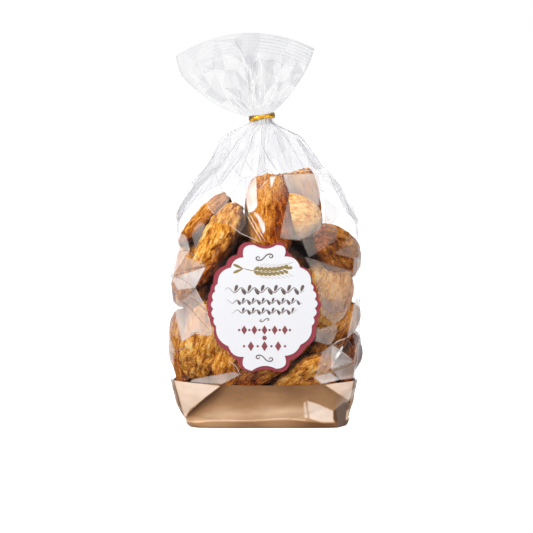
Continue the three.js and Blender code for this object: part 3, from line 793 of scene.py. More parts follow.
biscuit_rows, biscuit_spots, biscuit_turns = settle()
crust_look = crust_finish()
neighbours = []
for row, spot, turned_by in zip(biscuit_rows, biscuit_spots, biscuit_turns):
    balls = stand_ins(row["size"])
    neighbours.append(np.column_stack([balls[:, :3] @ turned_by.T + spot, balls[:, 3]]))
biscuit_points, biscuit_faces = [], []
for piece_name, first, last, rings, sides in (
        ("biscuits_front", 0, len(FRONT_BISCUITS), 84, 60),
        ("biscuits_inside", len(FRONT_BISCUITS), len(biscuit_rows), 60, 40)):
    parts = {"points": [], "faces": [], "crust": [], "bake": [], "open": [], "grain": []}
    count = 0
    for k in range(first, last):
        local, faces, crust, bake, out = biscuit(biscuit_rows[k], 100 + 20 * k, rings, sides)
        placed = kept_in(local @ biscuit_turns[k].T + biscuit_spots[k])
        others = np.concatenate([ball for i, ball in enumerate(neighbours) if i != k])
        parts["points"].append(placed)
        parts["open"].append(painted_occlusion(placed, out @ biscuit_turns[k].T, others))
        parts["faces"] += [[count + i for i in face] for face in faces]
        parts["crust"].append(crust)
        parts["bake"].append(bake)
        parts["grain"].append(local + 100 * k)
        count += len(local)
    points = np.concatenate(parts.pop("points"))
    faces = parts.pop("faces")
    base = sum(map(len, biscuit_points))
    biscuit_faces += [[base + i for i in face] for face in faces]
    biscuit_points.append(points)
    values = {name: np.concatenate(value) for name, value in parts.items()}
    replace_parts(mesh_piece(piece_name, points, faces, crust_look, "biscuit", **values), "film_bag")
biscuit_tree = BVHTree.FromPolygons(np.concatenate(biscuit_points).tolist(), biscuit_faces)

# ---- clear film body ---------------------------------------------------------------------------
# Crisp, clear film stands stiffly round the biscuits. Their corners press it into flat facets with sharp
# folds, some of which carry milky patches, painted reflections of the lamps. Above them it is gathered in
# deeper and deeper pleats to the neck.

FILM_PLACES = spread_round(440, FRONT_SHARE)
FILM_ROW = 0.75  # the film's mesh has a row of points at each of these heights
SEAM_COLUMNS = (1, 7)  # the two edges of the lengthwise seam, in the middle of the back
LABEL_BOX = [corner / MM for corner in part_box("label_backing")]
FLAT_FRONT = 36.0  # how far forward the panel is that the label keeps flat
FOLDS_TOP = 172  # folds are drawn by the rule up to here
TAUT = 0.88  # how flat the film is between its folds
PUSHED_TOP = 162  # no biscuit reaches higher
FEEL = 6.0  # biscuits are felt for from this far outside the film
FILM_GAP = 0.4  # air that the film keeps to them
GATHER_FROM = 134  # the height at which the pleats begin

# Facets of the front with painted reflections of the lamps: how milky, how warm and bright that milk is,
# and the facet's corners, as the front view shows them.
PAINTED_GLARE_FACETS = [
    (0.34, 0.55, [(-34.4, 45.3), (-30.1, 47.0), (-23.9, 45.3), (-23.3, 41.9), (-24.5, 37.5), (-31.6, 31.9),
        (-36.9, 38.1)]),
    (0.36, 0.5, [(-41.9, 27.6), (-38.8, 26.4), (-38.1, 24.8), (-43.7, 10.2), (-46.2, 20.2)]),
    (0.13, 0.6, [(-33.8, 28.2), (-24.6, 37.0), (-21.4, 39.4), (-12.7, 39.4), (-12.7, 28.2), (-17.1, 20.8),
        (-23.9, 27.0)]),
    (0.75, 0.95, [(-6.5, 56.1), (-5.9, 44.3), (-5.5, 37.5), (-7.8, 34.4), (-11.2, 33.2), (-12.9, 41.9),
        (-12.9, 46.2), (-10.9, 51.2)]),
    (0.8, 0.93, [(-8.1, 33.8), (-4.7, 32.2), (-1.2, 27.0), (-0.7, 22.0), (-2.2, 20.2), (-5.3, 28.8)]),
    (0.14, 0.3, [(-11.5, 28.8), (-3.4, 16.1), (-17.1, 20.2)]),
    (0.9, 1, [(1.9, 55.5), (5.9, 56.1), (2.8, 48.3)]),
    (0.55, 0.8, [(10.2, 57.4), (31.9, 57.7), (33.2, 47.4), (32.6, 37.5), (22.6, 44.3), (14.0, 45.6)]),
    (0.3, 0.82, [(13.3, 41.2), (17.1, 44.3), (24.5, 44.3), (30.7, 40.0), (34.4, 33.2), (34.4, 25.1),
        (30.1, 18.9), (20.2, 16.4), (8.4, 17.7)]),
    (0.4, 0.75, [(35.0, 33.8), (39.4, 28.8), (35.0, 25.1)]),
    (0.22, 0.62, [(22.0, 16.4), (34.4, 24.5), (39.4, 27.6), (44.3, 23.3), (43.1, 16.4), (35.0, 11.5),
        (26.4, 5.9)]),
    (0.34, 0.6, [(42.5, 8.4), (47.4, 11.5), (58.0, 14.6), (57.4, 4.0)]),
    (0.36, 0.66, [(23.9, 5.9), (26.4, 4.7), (54.9, -3.7), (56.1, -7.1), (53.0, -20.2), (48.1, -31.3),
        (41.9, -35.7), (33.8, -28.8), (33.2, -20.2), (30.0, -5.0)]),
    (0.4, 0.62, [(30.7, -37.5), (33.8, -38.8), (43.1, -35.7), (43.7, -40.0), (41.2, -46.2), (39.4, -48.7),
        (30.1, -46.2)]),
    (0.6, 0.72, [(-46.2, -70.1), (-20.2, -65.4), (-16.4, -66.9), (-28.2, -73.2), (-47.1, -71.6)]),
    (0.7, 0.86, [(29.2, -68.5), (39.1, -65.4), (45.4, -70.1), (34.4, -72.9)]),
    (0.62, 0.68, [(40.0, -63.6), (54.3, -59.8), (54.9, -69.1), (45.6, -70.1)]),
    (0.56, 0.86, [(-55.5, -20.2), (-44.3, -13.3), (-36.9, -27.0), (-33.2, -40.6), (-35.0, -43.1),
        (-44.3, -41.5), (-46.8, -43.1), (-52.4, -46.8), (-56.4, -31.3)]),
    (0.48, 0.72, [(-50.5, 5.9), (-37.5, 0.9), (-59.2, -7.1)]),
    (0.68, 0.95, [(-59.2, -7.4), (-37.5, 0.0), (-44.3, -13.3), (-54.9, -14.6)]),
    (0.42, 0.42, [(-58.0, -11.5), (-54.9, -14.6), (-44.3, -13.3), (-47.4, -18.3), (-53.6, -22.0),
        (-56.1, -18.3)]),
    (0.5, 0.9, [(54.9, -20.8), (59.2, -20.8), (59.2, -44.3), (53.6, -40.6), (49.9, -44.3)]),
    (0.08, 0.4, [(40.6, -48.7), (49.9, -44.3), (54.3, -59.2)]),
    (0.6, 0.06, [(33.2, -19.5), (49.9, -22.0), (48.7, -28.2), (41.2, -29.4), (35.0, -26.4)]),
    (0.6, 0.9, [(40.6, -48.7), (54.2, -59.2), (40.0, -63.5)]),
    (0.4, 0.74, [(40.6, -48.7), (40.0, -63.5), (30.4, -67.9), (34.4, -53.0)]),
    (0.55, 0.96, [(-54.9, 21.4), (-49.9, 18.9), (-47.4, 10.2), (-50.5, 5.9), (-59.2, -7.1), (-58.6, 10.2)]),
    (0.22, 0.0, [(-14.6, 85.9), (-27.6, 79.7), (-35.0, 72.2), (-38.5, 61.1), (-46.5, 48.0), (-55.0, 36.5),
        (-55.5, 27.0), (-47.5, 38.0), (-36.0, 44.5), (-26.0, 58.5), (-14.6, 72.2)]),
    (0.2, 0.0, [(3.4, 87.7), (20.8, 78.4), (36.3, 62.9), (33.2, 59.8), (11.5, 59.8), (5.3, 69.1),
        (0.9, 78.4)]),
    (0.3, 0.0, [(0.9, 81.5), (8.4, 85.9), (12.1, 72.2), (5.3, 66.0), (2.2, 72.2)]),
    (0.34, 0.0, [(-14.6, 72.2), (-31.3, 48.7), (-33.2, 47.4), (-27.0, 58.3)]),
    (0.26, 0.0, [(38.4, 57.0), (44.0, 51.5), (57.0, 28.0), (55.5, 26.0), (49.0, 38.0)]),
    (0.4, 0.95, [(54.2, 5.3), (58.6, 5.3), (59.2, -20.8), (54.9, -20.8), (53.3, -11.5)]),
]
# Single folds on the front: a painted highlight (white, glint), painted shade (dark, soft) or a painted
# reflection of a biscuit's brown (brown), its width, and its course in the front view.
FOLD_LINES = [
    ("white", 0.35, [(0.9, 53.9), (-1.6, 51.2), (-4.0, 48.3)]),
    ("glint", 1.6, [(47.4, -49.3), (45.0, -53.6), (42.5, -58.0)]),
    ("white", 0.45, [(42.5, -58.0), (40.0, -62.9)]),
    ("white", 0.45, [(49.9, -44.3), (44.3, -46.2), (40.6, -48.7)]),
    ("white", 0.45, [(40.6, -48.7), (47.4, -53.6), (54.3, -59.2)]),
    ("white", 0.35, [(-44.3, -13.3), (-40.6, -20.2), (-36.9, -27.0)]),
    ("white", 0.3, [(-44.3, -41.5), (-39.4, -41.9), (-35.0, -43.1)]),
    ("white", 0.3, [(-36.9, -27.0), (-34.4, -38.8), (-33.2, -40.6)]),
    ("white", 0.35, [(-12.7, 32.6), (-7.8, 23.9), (-2.8, 15.2)]),
    ("white", 0.4, [(-10.9, 33.2), (-5.9, 24.5), (-0.9, 15.8)]),
    ("white", 0.3, [(-36.9, 38.1), (-34.4, 34.4), (-31.6, 31.9)]),
    ("white", 0.3, [(-23.9, 27.0), (-16.4, 20.8), (-2.8, 14.6)]),
    ("white", 0.3, [(54.3, -59.8), (56.1, -51.8), (58.6, -44.3)]),
    ("white", 0.35, [(53.6, -40.6), (49.9, -44.3)]),
    ("white", 0.3, [(-16.4, -66.9), (-18.9, -61.7), (-23.9, -58.0)]),
    ("white", 0.3, [(11.5, 57.4), (20.8, 58.9), (30.7, 59.8)]),
    ("dark", 0.8, [(-13.6, 72.2), (-16.1, 67.3), (-23.3, 58.0), (-29.9, 49.3)]),
    ("dark", 0.8, [(-1.9, 73.8), (0.9, 67.3), (7.1, 58.6)]),
    ("dark", 0.5, [(8.4, 91.5), (16.1, 85.3), (25.7, 75.0), (33.2, 64.2)]),
    ("dark", 0.8, [(37.8, 59.6), (42.1, 48.7), (49.9, 34.8), (55.1, 27.8)]),
    ("dark", 0.5, [(30.7, 68.8), (49.0, 45.0), (50.8, 42.5)]),
    ("dark", 0.5, [(50.8, 42.2), (53.8, 34.4), (56.0, 28.2)]),
    ("dark", 0.6, [(32.9, 47.0), (35.0, 46.8), (36.5, 46.2)]),
    ("dark", 0.5, [(-38.1, 50.5), (-47.4, 38.1), (-56.1, 27.6)]),
    ("dark", 0.4, [(-27.6, 82.2), (-32.6, 72.9), (-36.3, 62.9)]),
    ("dark", 0.4, [(42.5, -58.0), (48.1, -53.6), (54.3, -59.8)]),
    ("dark", 0.4, [(49.9, -44.3), (54.3, -51.8), (54.3, -59.2)]),
    ("dark", 0.5, [(30.4, -67.9), (35.7, -58.0), (40.6, -48.7)]),
    ("dark", 0.4, [(-58.6, -4.7), (-50.5, -9.0), (-44.3, -13.3)]),
    ("dark", 0.4, [(53.0, -20.2), (49.9, -28.8), (48.7, -36.9)]),
    ("dark", 0.4, [(-46.8, -43.1), (-49.9, -49.9), (-54.9, -53.0)]),
    ("dark", 0.4, [(-58.0, -53.0), (-51.8, -50.5), (-47.4, -51.8)]),
    ("dark", 0.4, [(-9.0, 88.0), (-19.0, 76.0), (-29.0, 62.0), (-38.0, 47.0)]),
    ("dark", 0.4, [(-7.0, 86.0), (-11.5, 70.0), (-17.0, 56.0)]),
    ("dark", 0.4, [(0.5, 88.0), (-1.5, 74.0), (-6.0, 59.0)]),
    ("dark", 0.4, [(3.0, 88.0), (9.5, 72.0), (15.0, 58.0)]),
    ("dark", 0.4, [(5.5, 89.0), (14.0, 77.0), (22.0, 63.0), (27.0, 52.0)]),
    ("white", 0.35, [(-4.0, 88.0), (-6.5, 74.0), (-11.0, 60.0)]),
    ("white", 0.35, [(7.0, 89.0), (21.0, 74.0), (31.0, 57.0)]),
    ("brown", 1.5, [(-58.6, -6.5), (-50.5, -2.2), (-44.3, -0.9), (-36.9, -0.3)]),
    ("brown", 0.9, [(-54.9, 9.0), (-49.3, 10.2), (-43.1, 5.9), (-37.5, 1.6)]),
    ("brown", 0.9, [(-53.6, -15.8), (-44.3, -20.8), (-36.3, -28.2), (-31.9, -39.4)]),
    ("brown", 0.8, [(-55.5, -18.9), (-47.4, -25.7), (-40.0, -34.4), (-33.8, -41.2)]),
    ("brown", 0.6, [(-47.4, -41.5), (-43.7, -41.0), (-33.8, -43.1)]),
    ("brown", 1.7, [(54.9, -59.6), (45.6, -62.9), (33.2, -67.3)]),
    ("brown", 0.7, [(49.3, -44.3), (41.8, -48.0), (56.1, -59.8)]),
    ("brown", 0.6, [(53.6, -20.5), (50.5, -33.0), (47.5, -41.5)]),
    ("brown", 0.5, [(23.9, 5.9), (38.0, 1.2), (54.9, -3.7)]),
    ("white", 0.8, [(-8.6, 126.2), (-8.6, 95.8)]),
    ("white", 0.6, [(-12.1, 116.9), (-10.2, 95.8)]),
    ("white", 0.6, [(-5.3, 121.8), (-6.5, 95.8)]),
    ("white", 0.6, [(-2.8, 128.0), (-4.7, 97.0)]),
    ("white", 0.5, [(2.2, 124.3), (-2.8, 95.8)]),
    ("white", 0.5, [(9.0, 117.5), (-0.3, 95.8)]),
    ("white", 0.5, [(-18.9, 110.7), (-12.7, 94.6)]),
    ("white", 0.5, [(-25.7, 106.3), (-14.6, 93.3)]),
    ("soft", 1.8, [(-10.9, 122.5), (-10.2, 106.3)]),
    ("soft", 1.6, [(-6.5, 113.2), (-6.5, 104.5)]),
    ("soft", 0.7, [(-0.9, 126.8), (5.3, 128.0), (10.9, 124.3)]),
    ("soft", 0.6, [(11.5, 108.2), (3.4, 95.8)]),
    ("soft", 0.6, [(20.8, 118.7), (8.4, 104.5)]),
    ("soft", 0.5, [(-20.5, 142.3), (-8.0, 119.4)]),
    ("soft", 0.5, [(-4.0, 142.3), (-8.0, 119.4)]),
]


def pleat_wave(share, count, seed):
    """An uneven zigzag round the neck, 0 on the outer edges of the pleats and 1 on the inner ones."""
    parts = [math.sin(k * 1.7 + seed) * np.sin(2 * math.pi * k * share + seed * k) / k for k in range(2, 7)]
    turns = share * count + 0.35 * sum(parts)
    return np.abs(2 * (turns - np.floor(turns)) - 1)


neck = skin_rings([skin_heights[-1]], np.arange(SPOKES) / SPOKES)[0]
NECK_X = (neck[:, 0].min() + neck[:, 0].max()) / 2
NECK_HALF = (np.ptp(neck[:, 0]) / 2, np.ptp(neck[:, 1]) / 2)
TIE_Z = TIE_TOP - 2.4
BROAD_PLEATS = (15, 0.4)  # how many there are round the bag, and the seed of their spacing
FINE_PLEATS = (37, 2.1)


def gather(rings, places):
    """Pleats the film, more and more towards the neck."""
    share = np.tile(places, (rings.shape[0], 1))
    z = rings[..., 2]
    deep = np.interp(z, [GATHER_FROM, 150, 165, 180, TIE_Z], [0, 1.3, 2.6, 2.6, 1.8])
    fine = np.interp(z, [158, 172, 184, TIE_Z], [0, 0.5, 1.0, 0.8])
    fold = deep * (pleat_wave(share, *BROAD_PLEATS) - 0.25) + fine * pleat_wave(share, *FINE_PLEATS)
    return rings - outward(rings) * fold[..., None]


def film_net(smooth, across, draw):
    """The film's folds: those listed for the front, and others between them and behind."""
    up = smooth[..., 2]
    seen = np.stack(front_view(smooth), 2)
    behind = 1e3 * (np.abs(FILM_PLACES - 0.5) > 0.26)
    corners, insets, folds = [], [], []

    def on_film(point):
        """Where a point of the front view is on the film: its distance round and its height."""
        far = np.hypot(*(seen - point).transpose(2, 0, 1)) + behind
        row, column = np.unravel_index(far.argmin(), far.shape)
        return float(across[row, column]), float(up[row, column])

    def corner(shown, inset):
        """The number of the corner at a point of the front view, which may be one that is close by."""
        point = on_film(shown)
        for k, other in enumerate(corners):
            if math.dist(point, other) < 1.5:
                return k
        corners.append(point)
        insets.append(inset)
        return len(corners) - 1

    for _, _, outline in PAINTED_GLARE_FACETS:
        middle = np.mean(outline, 0)
        lean = draw.uniform(-0.07, 0.07, 2)
        ids = [corner(shown, 1.0 + lean @ (shown - middle)) for shown in outline]
        folds += [(a, b) for a, b in zip(ids, ids[1:] + ids[:1]) if a != b]
    for _, _, course in FOLD_LINES:
        ids = [corner(shown, 1.5) for shown in course]
        folds += [(a, b) for a, b in zip(ids, ids[1:]) if a != b]
    placed = len(corners)
    others = spaced(corners, (-GIRTH / 2, PRINT_TOP + 4), (GIRTH / 2, FOLDS_TOP), 12.5, 2600, draw)[placed:]
    flats = [np.array([on_film(shown) for shown in outline]) for _, _, outline in PAINTED_GLARE_FACETS]
    others = [point for point in others
              if max(inside_by(flat, *np.array([point]).T)[0] for flat in flats) < 0]
    insets += [draw.uniform(-0.2, 1.3 if abs(point[0]) < 50 else 2.6) for point in others]
    rim = [(s, z) for s in np.arange(-GIRTH / 2, GIRTH / 2, RIM_STEP)
           for z in (PRINT_TOP - 1, FOLDS_TOP + 24)]
    count = len(corners + others + rim)
    shifted = [(count + a, count + b) for a, b in folds]
    return Creases(tiled_round(corners + others + rim), shifted, (insets + [0.0] * len(rim)) * 3)


def film_grid(points, rows):
    """Rows and columns of the film's grid, as fractions, from distances round and heights."""
    columns = np.interp((points[:, 0] / GIRTH + 0.5) % 1, FILM_PLACES, np.arange(len(FILM_PLACES)))
    return np.clip((points[:, 1] - PRINT_TOP) / FILM_ROW, 0, rows - 1.001), columns


def flattened(smooth, out, net, owner, weights, off_label):
    """The film drawn flat between the net's corners, but for its lowest edge, its top and what is glued."""
    near = tuple(np.round(place).astype(int) for place in film_grid(net.points, len(smooth)))
    pinned = smooth[near] - out[near] * net.insets[:, None]
    pinned[:, 2] = net.points[:, 1]
    flat = (weights[..., None] * pinned[net.faces[owner]]).sum(2)
    z = smooth[..., 2]
    taut = TAUT * off_label * ease(PRINT_TOP, PRINT_TOP + 3, z) * (1 - ease(132, 152, z))
    return smooth + (flat - smooth) * np.where(owner >= 0, taut, 0)[..., None]


def pushed_out(film, out, heights):
    """The film pushed out by the biscuits that stand proud of it, and eased down round them."""
    need = np.zeros(film.shape[:2])
    for row in np.nonzero(heights <= PUSHED_TOP)[0]:
        for column in range(len(FILM_PLACES)):
            start = Vector(film[row, column] + out[row, column] * FEEL)
            hit = biscuit_tree.ray_cast(start, -Vector(out[row, column]), FEEL + 1)[0]
            if hit is not None:
                need[row, column] = max(0, FEEL + FILM_GAP - (start - hit).length)
    push = need.copy()
    for _ in range(30):
        around = (np.roll(push, 1, 1) + np.roll(push, -1, 1)) * 0.25
        beside = np.pad(push, ((1, 1), (0, 0)), "edge")
        push = np.maximum(need, around + 0.25 * (beside[:-2] + beside[2:]))
    for _ in range(4):
        beside = np.pad(push, ((1, 1), (0, 0)), "edge")
        push = (2 * push + np.roll(push, 1, 1) + np.roll(push, -1, 1) + beside[:-2] + beside[2:]) / 6
    return film + out * (push * ease(PRINT_TOP - 1, PRINT_TOP + 4, heights)[:, None])[..., None]


def film_milk_and_painted_glare(film, z, across, net, owner, draw):
    """How milky each point of the film is, haze and painted reflections, and how warm and bright, both 0 to
    1.
    """
    centres = net.points[net.faces].mean(1)
    # Random facets with painted reflections, fewer on the front and on the shoulders.
    painted_facet_glare = np.clip(draw.uniform(-0.16, 0.26, len(net.faces)), 0, 1)
    painted_facet_glare[(np.abs(centres[:, 0]) < 66) & (centres[:, 1] < 158)] *= 0.12  # the front has its facets listed
    painted_facet_glare[centres[:, 1] > GATHER_FROM] *= 0.3
    haze = 0.003 + np.where(owner >= 0, painted_facet_glare[owner], 0) * ease(PRINT_TOP, PRINT_TOP + 2, z)
    haze += 0.12 * ease(GATHER_FROM, 150, z) + 0.08 * ease(180, 189, z)
    haze[:, SEAM_COLUMNS[0]:SEAM_COLUMNS[1]] += 0.1
    around = np.abs(across)
    turned_edge = ease(62, 70, around) * (1 - ease(80, 86, around)) * (1 - ease(118, 132, z))
    haze += 0.3 * turned_edge
    tone = np.where(z < GATHER_FROM, 0.5 * (1 - turned_edge), 0.0)
    u, w = front_view(film)
    streaks = noise(np.stack([across / 2.2, z / 7, 0 * z], 2).reshape(-1, 3), 41).reshape(z.shape)
    clouds = noise(np.stack([across / 9, z / 9, 0 * z], 2).reshape(-1, 3), 42).reshape(z.shape)
    front = (np.abs(FILM_PLACES - 0.5) < 0.24) & (z < 190)
    beside = np.minimum(np.abs(FILM_PLACES - 0.25), np.abs(FILM_PLACES - 0.75))
    haze *= 1 - 0.65 * ease(130, 145, z) * (1 - ease(0.08, 0.13, beside))  # less in the gussets
    haze *= 1 + 0.6 * streaks * ease(GATHER_FROM, 150, z)
    # Painted reflections of the lamps on the listed facets, each with a slight painted gradient.
    for milk_and_painted_glare, warmth, outline in PAINTED_GLARE_FACETS:
        patch = ease(-0.25, 0.25, inside_by(outline, u, w)) * front
        middle = np.mean(outline, 0)
        lean = draw.uniform(-0.025, 0.025, 2)
        slope = 1 + lean[0] * (u - middle[0]) + lean[1] * (w - middle[1])
        level = np.clip(milk_and_painted_glare * slope * (1 + 0.3 * clouds + 0.22 * streaks), 0, 0.96)
        haze += (np.maximum(level, haze) - haze) * patch
        tone += (warmth - tone) * patch
    return np.clip(haze, 0, 0.95), np.clip(tone, 0, 1)


def film_body():
    """The film from the print to the tie: points, milk, the milk's tone, and the net of its folds."""
    heights = np.arange(PRINT_TOP, TIE_Z + 0.01, FILM_ROW)
    smooth = skin_rings(heights, FILM_PLACES)
    out = outward(smooth)
    across = np.tile((FILM_PLACES - 0.5) * GIRTH, (len(heights), 1))
    draw = np.random.default_rng(23)
    net = film_net(smooth, across, draw)
    owner, weights = net.cover(across, smooth[..., 2])

    middle, half = (LABEL_BOX[0] + LABEL_BOX[1]) / 2, (LABEL_BOX[1] - LABEL_BOX[0]) / 2
    from_label = np.hypot((smooth[..., 0] - middle.x) / half.x, (smooth[..., 2] - middle.z) / half.z)
    off_label = np.where(smooth[..., 1] < 0, ease(0.98, 1.2, from_label), 1)
    film = pushed_out(flattened(smooth, out, net, owner, weights, off_label), out, heights)
    film[..., 2] = smooth[..., 2]
    held = (film[..., 1] < -FLAT_FRONT) & (from_label < 1.12)
    film[..., 1] = np.where(held, -FLAT_FRONT, film[..., 1])
    film = gather(film, FILM_PLACES)
    low_edge = 1 - ease(PRINT_TOP, 62, smooth[..., 2])
    film[..., 2] += print_rise(film[..., 0], film[..., 1]) * low_edge
    return film, *film_milk_and_painted_glare(film, smooth[..., 2], across, net, owner, draw), net


def film_finish():
    """Clear film, glossier where it is seen edge-on, with milky patches over it: haze and painted
    reflections.
    """
    film = Finish("clear_film")
    bump = film.bump(film.cloud(160.0, 1.0), 0.25, 0.0006)
    facing = film.node("LayerWeight", sockets={"Blend": 0.5, "Normal": bump}, out=1)
    gloss = film.clamp(0.004 + 0.36 * facing ** 4.0)
    clear = film.node("BsdfTransparent", sockets={"Color": (0.99, 0.99, 0.993, 1)})
    shine = film.principled((0.9, 0.9, 0.93, 1), 0.1, bump, Metallic=1.0)
    # The milk's colour by its tone: grey, a biscuit's brown, then paler to near white, for painted
    # reflections.
    color = film.ramp(
        film.value("tone"), (0.0, (0.3, 0.3, 0.34, 1)), (0.25, (0.26, 0.14, 0.07, 1)),
        (0.5, (0.46, 0.38, 0.34, 1)), (0.75, (0.62, 0.52, 0.46, 1)), (1.0, (0.84, 0.8, 0.78, 1)))
    milk_and_painted_glare = film.principled(color, 0.4, bump, Specular_IOR_Level=0.3)
    glossy = film.node("MixShader", sockets={0: gloss, 1: clear, 2: shine})
    haze = film.clamp(film.value("haze"))
    return film.surface(film.node("MixShader", sockets={0: haze, 1: glossy, 2: milk_and_painted_glare}))


def film_piece(name, points, faces, haze, tone):
    """A piece of the film, which casts no shadow of its own on what it holds."""
    piece = mesh_piece(name, points, faces, film_look, "clear_film", haze=haze, tone=tone)
    piece.visible_shadow = False
    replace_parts(piece, "film_bag")


film_points, film_haze_and_painted_glare, film_tone, film_net = film_body()
film_look = film_finish()
film_faces = ring_faces(*film_points.shape[:2])
film_piece("film_body", film_points, film_faces, film_haze_and_painted_glare.ravel(), film_tone.ravel())

# ---- film fan ----------------------------------------------------------------------------------
# Above the tie the same film opens into a fan of two sheets. A ribbed heat seal shuts them along the top
# edge, with a tuck folded into it on the left of the middle.

FAN_APEX_Z = TIE_Z - 6.2  # the point that the fan spreads from
FAN_ROWS = (96, 66)  # rows below the seal, and in it
# Share of the way to the top edge, spread to the left and to the right in degrees, and half the fan's
# thickness.
FAN_SECTIONS = [
    (0.1, 56, 37, 5), (0.16, 58.5, 38, 5.2), (0.25, 62.5, 40, 6), (0.34, 64.3, 40.8, 7),
    (0.44, 64, 41, 7.5), (0.58, 61.5, 39.6, 7), (0.72, 59.2, 38.2, 4.6), (0.82, 57.6, 37, 1.5),
    (1, 50.6, 33.6, 0.2),
]
# How far the top edge is from the point that the fan spreads from, by angle in degrees.
FAN_REACH = [(-52, 69), (-25, 61.2), (-3, 57.8), (16, 57), (35, 58.1)]
FAN_LENGTH = 62.0  # of the sheet from the tie to its top edge, for its facets
SEAL_DEPTH = 13.0
RIB_PITCH = 2.0
TUCK = [(-20.5, 237), (-14, 241), (-4, 241), (-8, 216.7)]  # the outline of the folded-over piece


def film_fan():
    """The film above the tie: its points, how milky each of them is, and that milk's tone."""
    around, columns = FILM_PLACES, len(FILM_PLACES)
    foot = (TIE_Z - FAN_APEX_Z) / FAN_REACH[2][1]
    below, sealed_rows = FAN_ROWS
    shares = np.concatenate([np.linspace(foot, 0.78, below), np.linspace(0.78, 1, sealed_rows + 1)[1:]])
    sheet = np.where(np.abs(around - 0.5) < 0.25, -1.0, 1.0)  # front and back
    behind = np.where(around > 0.5, 1 - 4 * (around - 0.75), -1 + 4 * (0.25 - around))
    spread = np.where(sheet < 0, 4 * (around - 0.5), behind)
    table = np.array(FAN_SECTIONS)
    left, right, half = (np.interp(shares, table[:, 0], table[:, k])[:, None] for k in (1, 2, 3))
    degrees = (right - left) / 2 + spread * (left + right) / 2
    angles, reaches = np.array(FAN_REACH).T
    edge = np.polyval(np.polyfit(angles, reaches, 3), degrees)
    reach = shares[:, None] * edge
    x = NECK_X + reach * np.sin(np.radians(degrees))
    z = FAN_APEX_Z + reach * np.cos(np.radians(degrees))

    rows = shares[:, None] * np.ones(columns)
    bulge = np.sqrt(np.clip(1 - spread ** 2, 0, 1)) ** 0.7
    deep = np.interp(shares, [0.1, 0.3, 0.5, 0.78, 1], [0.5, 2.6, 3.4, 2.0, 0.4])[:, None]
    fine = np.interp(shares, [0.1, 0.25, 0.45, 0.6], [0.4, 1.0, 0.5, 0])[:, None]
    fold = deep * pleat_wave(around, *BROAD_PLEATS) + fine * pleat_wave(around, *FINE_PLEATS)
    apart = sheet * (half * bulge - np.minimum(fold, half * bulge * 1.3))
    ripple = 1.5 * np.sin(spread * 5.2 + 0.6) + 0.9 * np.sin(spread * 11.3 + 2.0) * (1.2 - rows)
    together = np.clip(rows * 1.3, 0, 1) * ripple * (1 - spread ** 6)
    shut = ease(0.72, 0.82, rows)
    y = together + apart * (1 - shut) + sheet * 0.12 * shut

    draw = np.random.default_rng(31)
    across = around[None] * 4 * FAN_LENGTH * np.ones_like(rows)
    corners = spaced([], (-8, 8), (4 * FAN_LENGTH + 8, FAN_LENGTH), 8.5, 1500, draw)
    net = Creases(corners, [], list(draw.uniform(-1.5, 1.5, len(corners))))
    owner, weights = net.cover(across, rows * FAN_LENGTH)
    facet = net.blend(net.insets, owner, weights)
    y += facet * ease(0.22, 0.4, rows) * (1 - 0.75 * shut)

    from_edge = (1 - rows) * edge
    ribs = np.abs(2 * (from_edge / RIB_PITCH - np.floor(from_edge / RIB_PITCH)) - 1)
    sealed = ease(0, 0.6, SEAL_DEPTH - from_edge)
    in_tuck = ease(-0.3, 0.3, inside_by(TUCK, x, z)) * (sheet < 0)
    crisp = np.interp(spread, [-1, -0.4, 0.05, 0.2, 1], [0.15, 0.3, 0.3, 1, 1]) * (1 - in_tuck)
    y += 0.5 * (ribs - 0.5) * sealed * crisp
    y -= 1.1 * in_tuck

    ring = gather(skin_rings([TIE_Z], around), around)[0]
    upright = np.repeat(ring[None], len(shares), 0)
    upright[..., 2] = FAN_APEX_Z + shares[:, None] * FAN_REACH[2][1]
    open_out = ease(foot, foot + 0.06, rows)[..., None]
    fan = upright + (np.stack([x, y, z], 2) - upright) * open_out

    # Random facets get painted reflections.
    painted_facet_glare = np.clip(draw.uniform(-0.1, 0.24, len(net.faces)), 0, 1)
    haze = 0.02 + np.where(owner >= 0, painted_facet_glare[owner], 0) * (1 - 0.5 * shut) * ease(0.15, 0.3, rows)
    haze += sealed * (0.02 + 0.12 * crisp * (1 - ribs) ** 2) + 0.14 * in_tuck
    haze += 0.1 * ease(0.975, 0.995, np.abs(spread)) + 0.08 * ease(0.99, 1, rows)
    haze += 0.1 * (1 - ease(0.12, 0.3, rows))
    return fan, np.clip(haze, 0, 0.9), np.zeros(rows.shape)


fan_points, fan_haze_and_painted_glare, fan_tone = film_fan()
fan_faces = ring_faces(*fan_points.shape[:2])
film_piece("film_fan", fan_points, fan_faces, fan_haze_and_painted_glare.ravel(), fan_tone.ravel())

# ---- fold lines --------------------------------------------------------------------------------
# Each sharp fold of the stiff film is a thin ridge, painted as a bright line (painted highlight) or a dark
# one (painted shade). They run along the edges of the facets with painted reflections, from corner to
# corner of the bag, and in long rays below and above the tie.


def ridges(lines):
    """Slim tapered ridges from lines of points, directions out of the film, a width, a painted milk and
    tone.
    """
    points, faces, haze, tone = [], [], [], []
    for line, away, width, milk_and_painted_glare, warmth in lines:
        run = np.gradient(line, axis=0)
        aside = np.cross(run, away)
        aside /= np.linalg.norm(aside, axis=1, keepdims=True) + 1e-9
        taper = np.clip(np.sin(np.linspace(0, math.pi, len(line))) * 2, 0.12, 1)[:, None]
        base = len(points)
        for side, lift in ((-1, 0.12), (0, 0.22), (1, 0.12)):
            points.extend(line + side * aside * width / 2 * taper + away * lift)
        count = len(line)
        faces += [[base + row * count + k, base + row * count + k + 1, base + (row + 1) * count + k + 1,
                   base + (row + 1) * count + k] for row in (0, 1) for k in range(count - 1)]
        haze += [milk_and_painted_glare] * (3 * count)
        tone += [warmth] * (3 * count)
    return np.array(points), faces, haze, tone


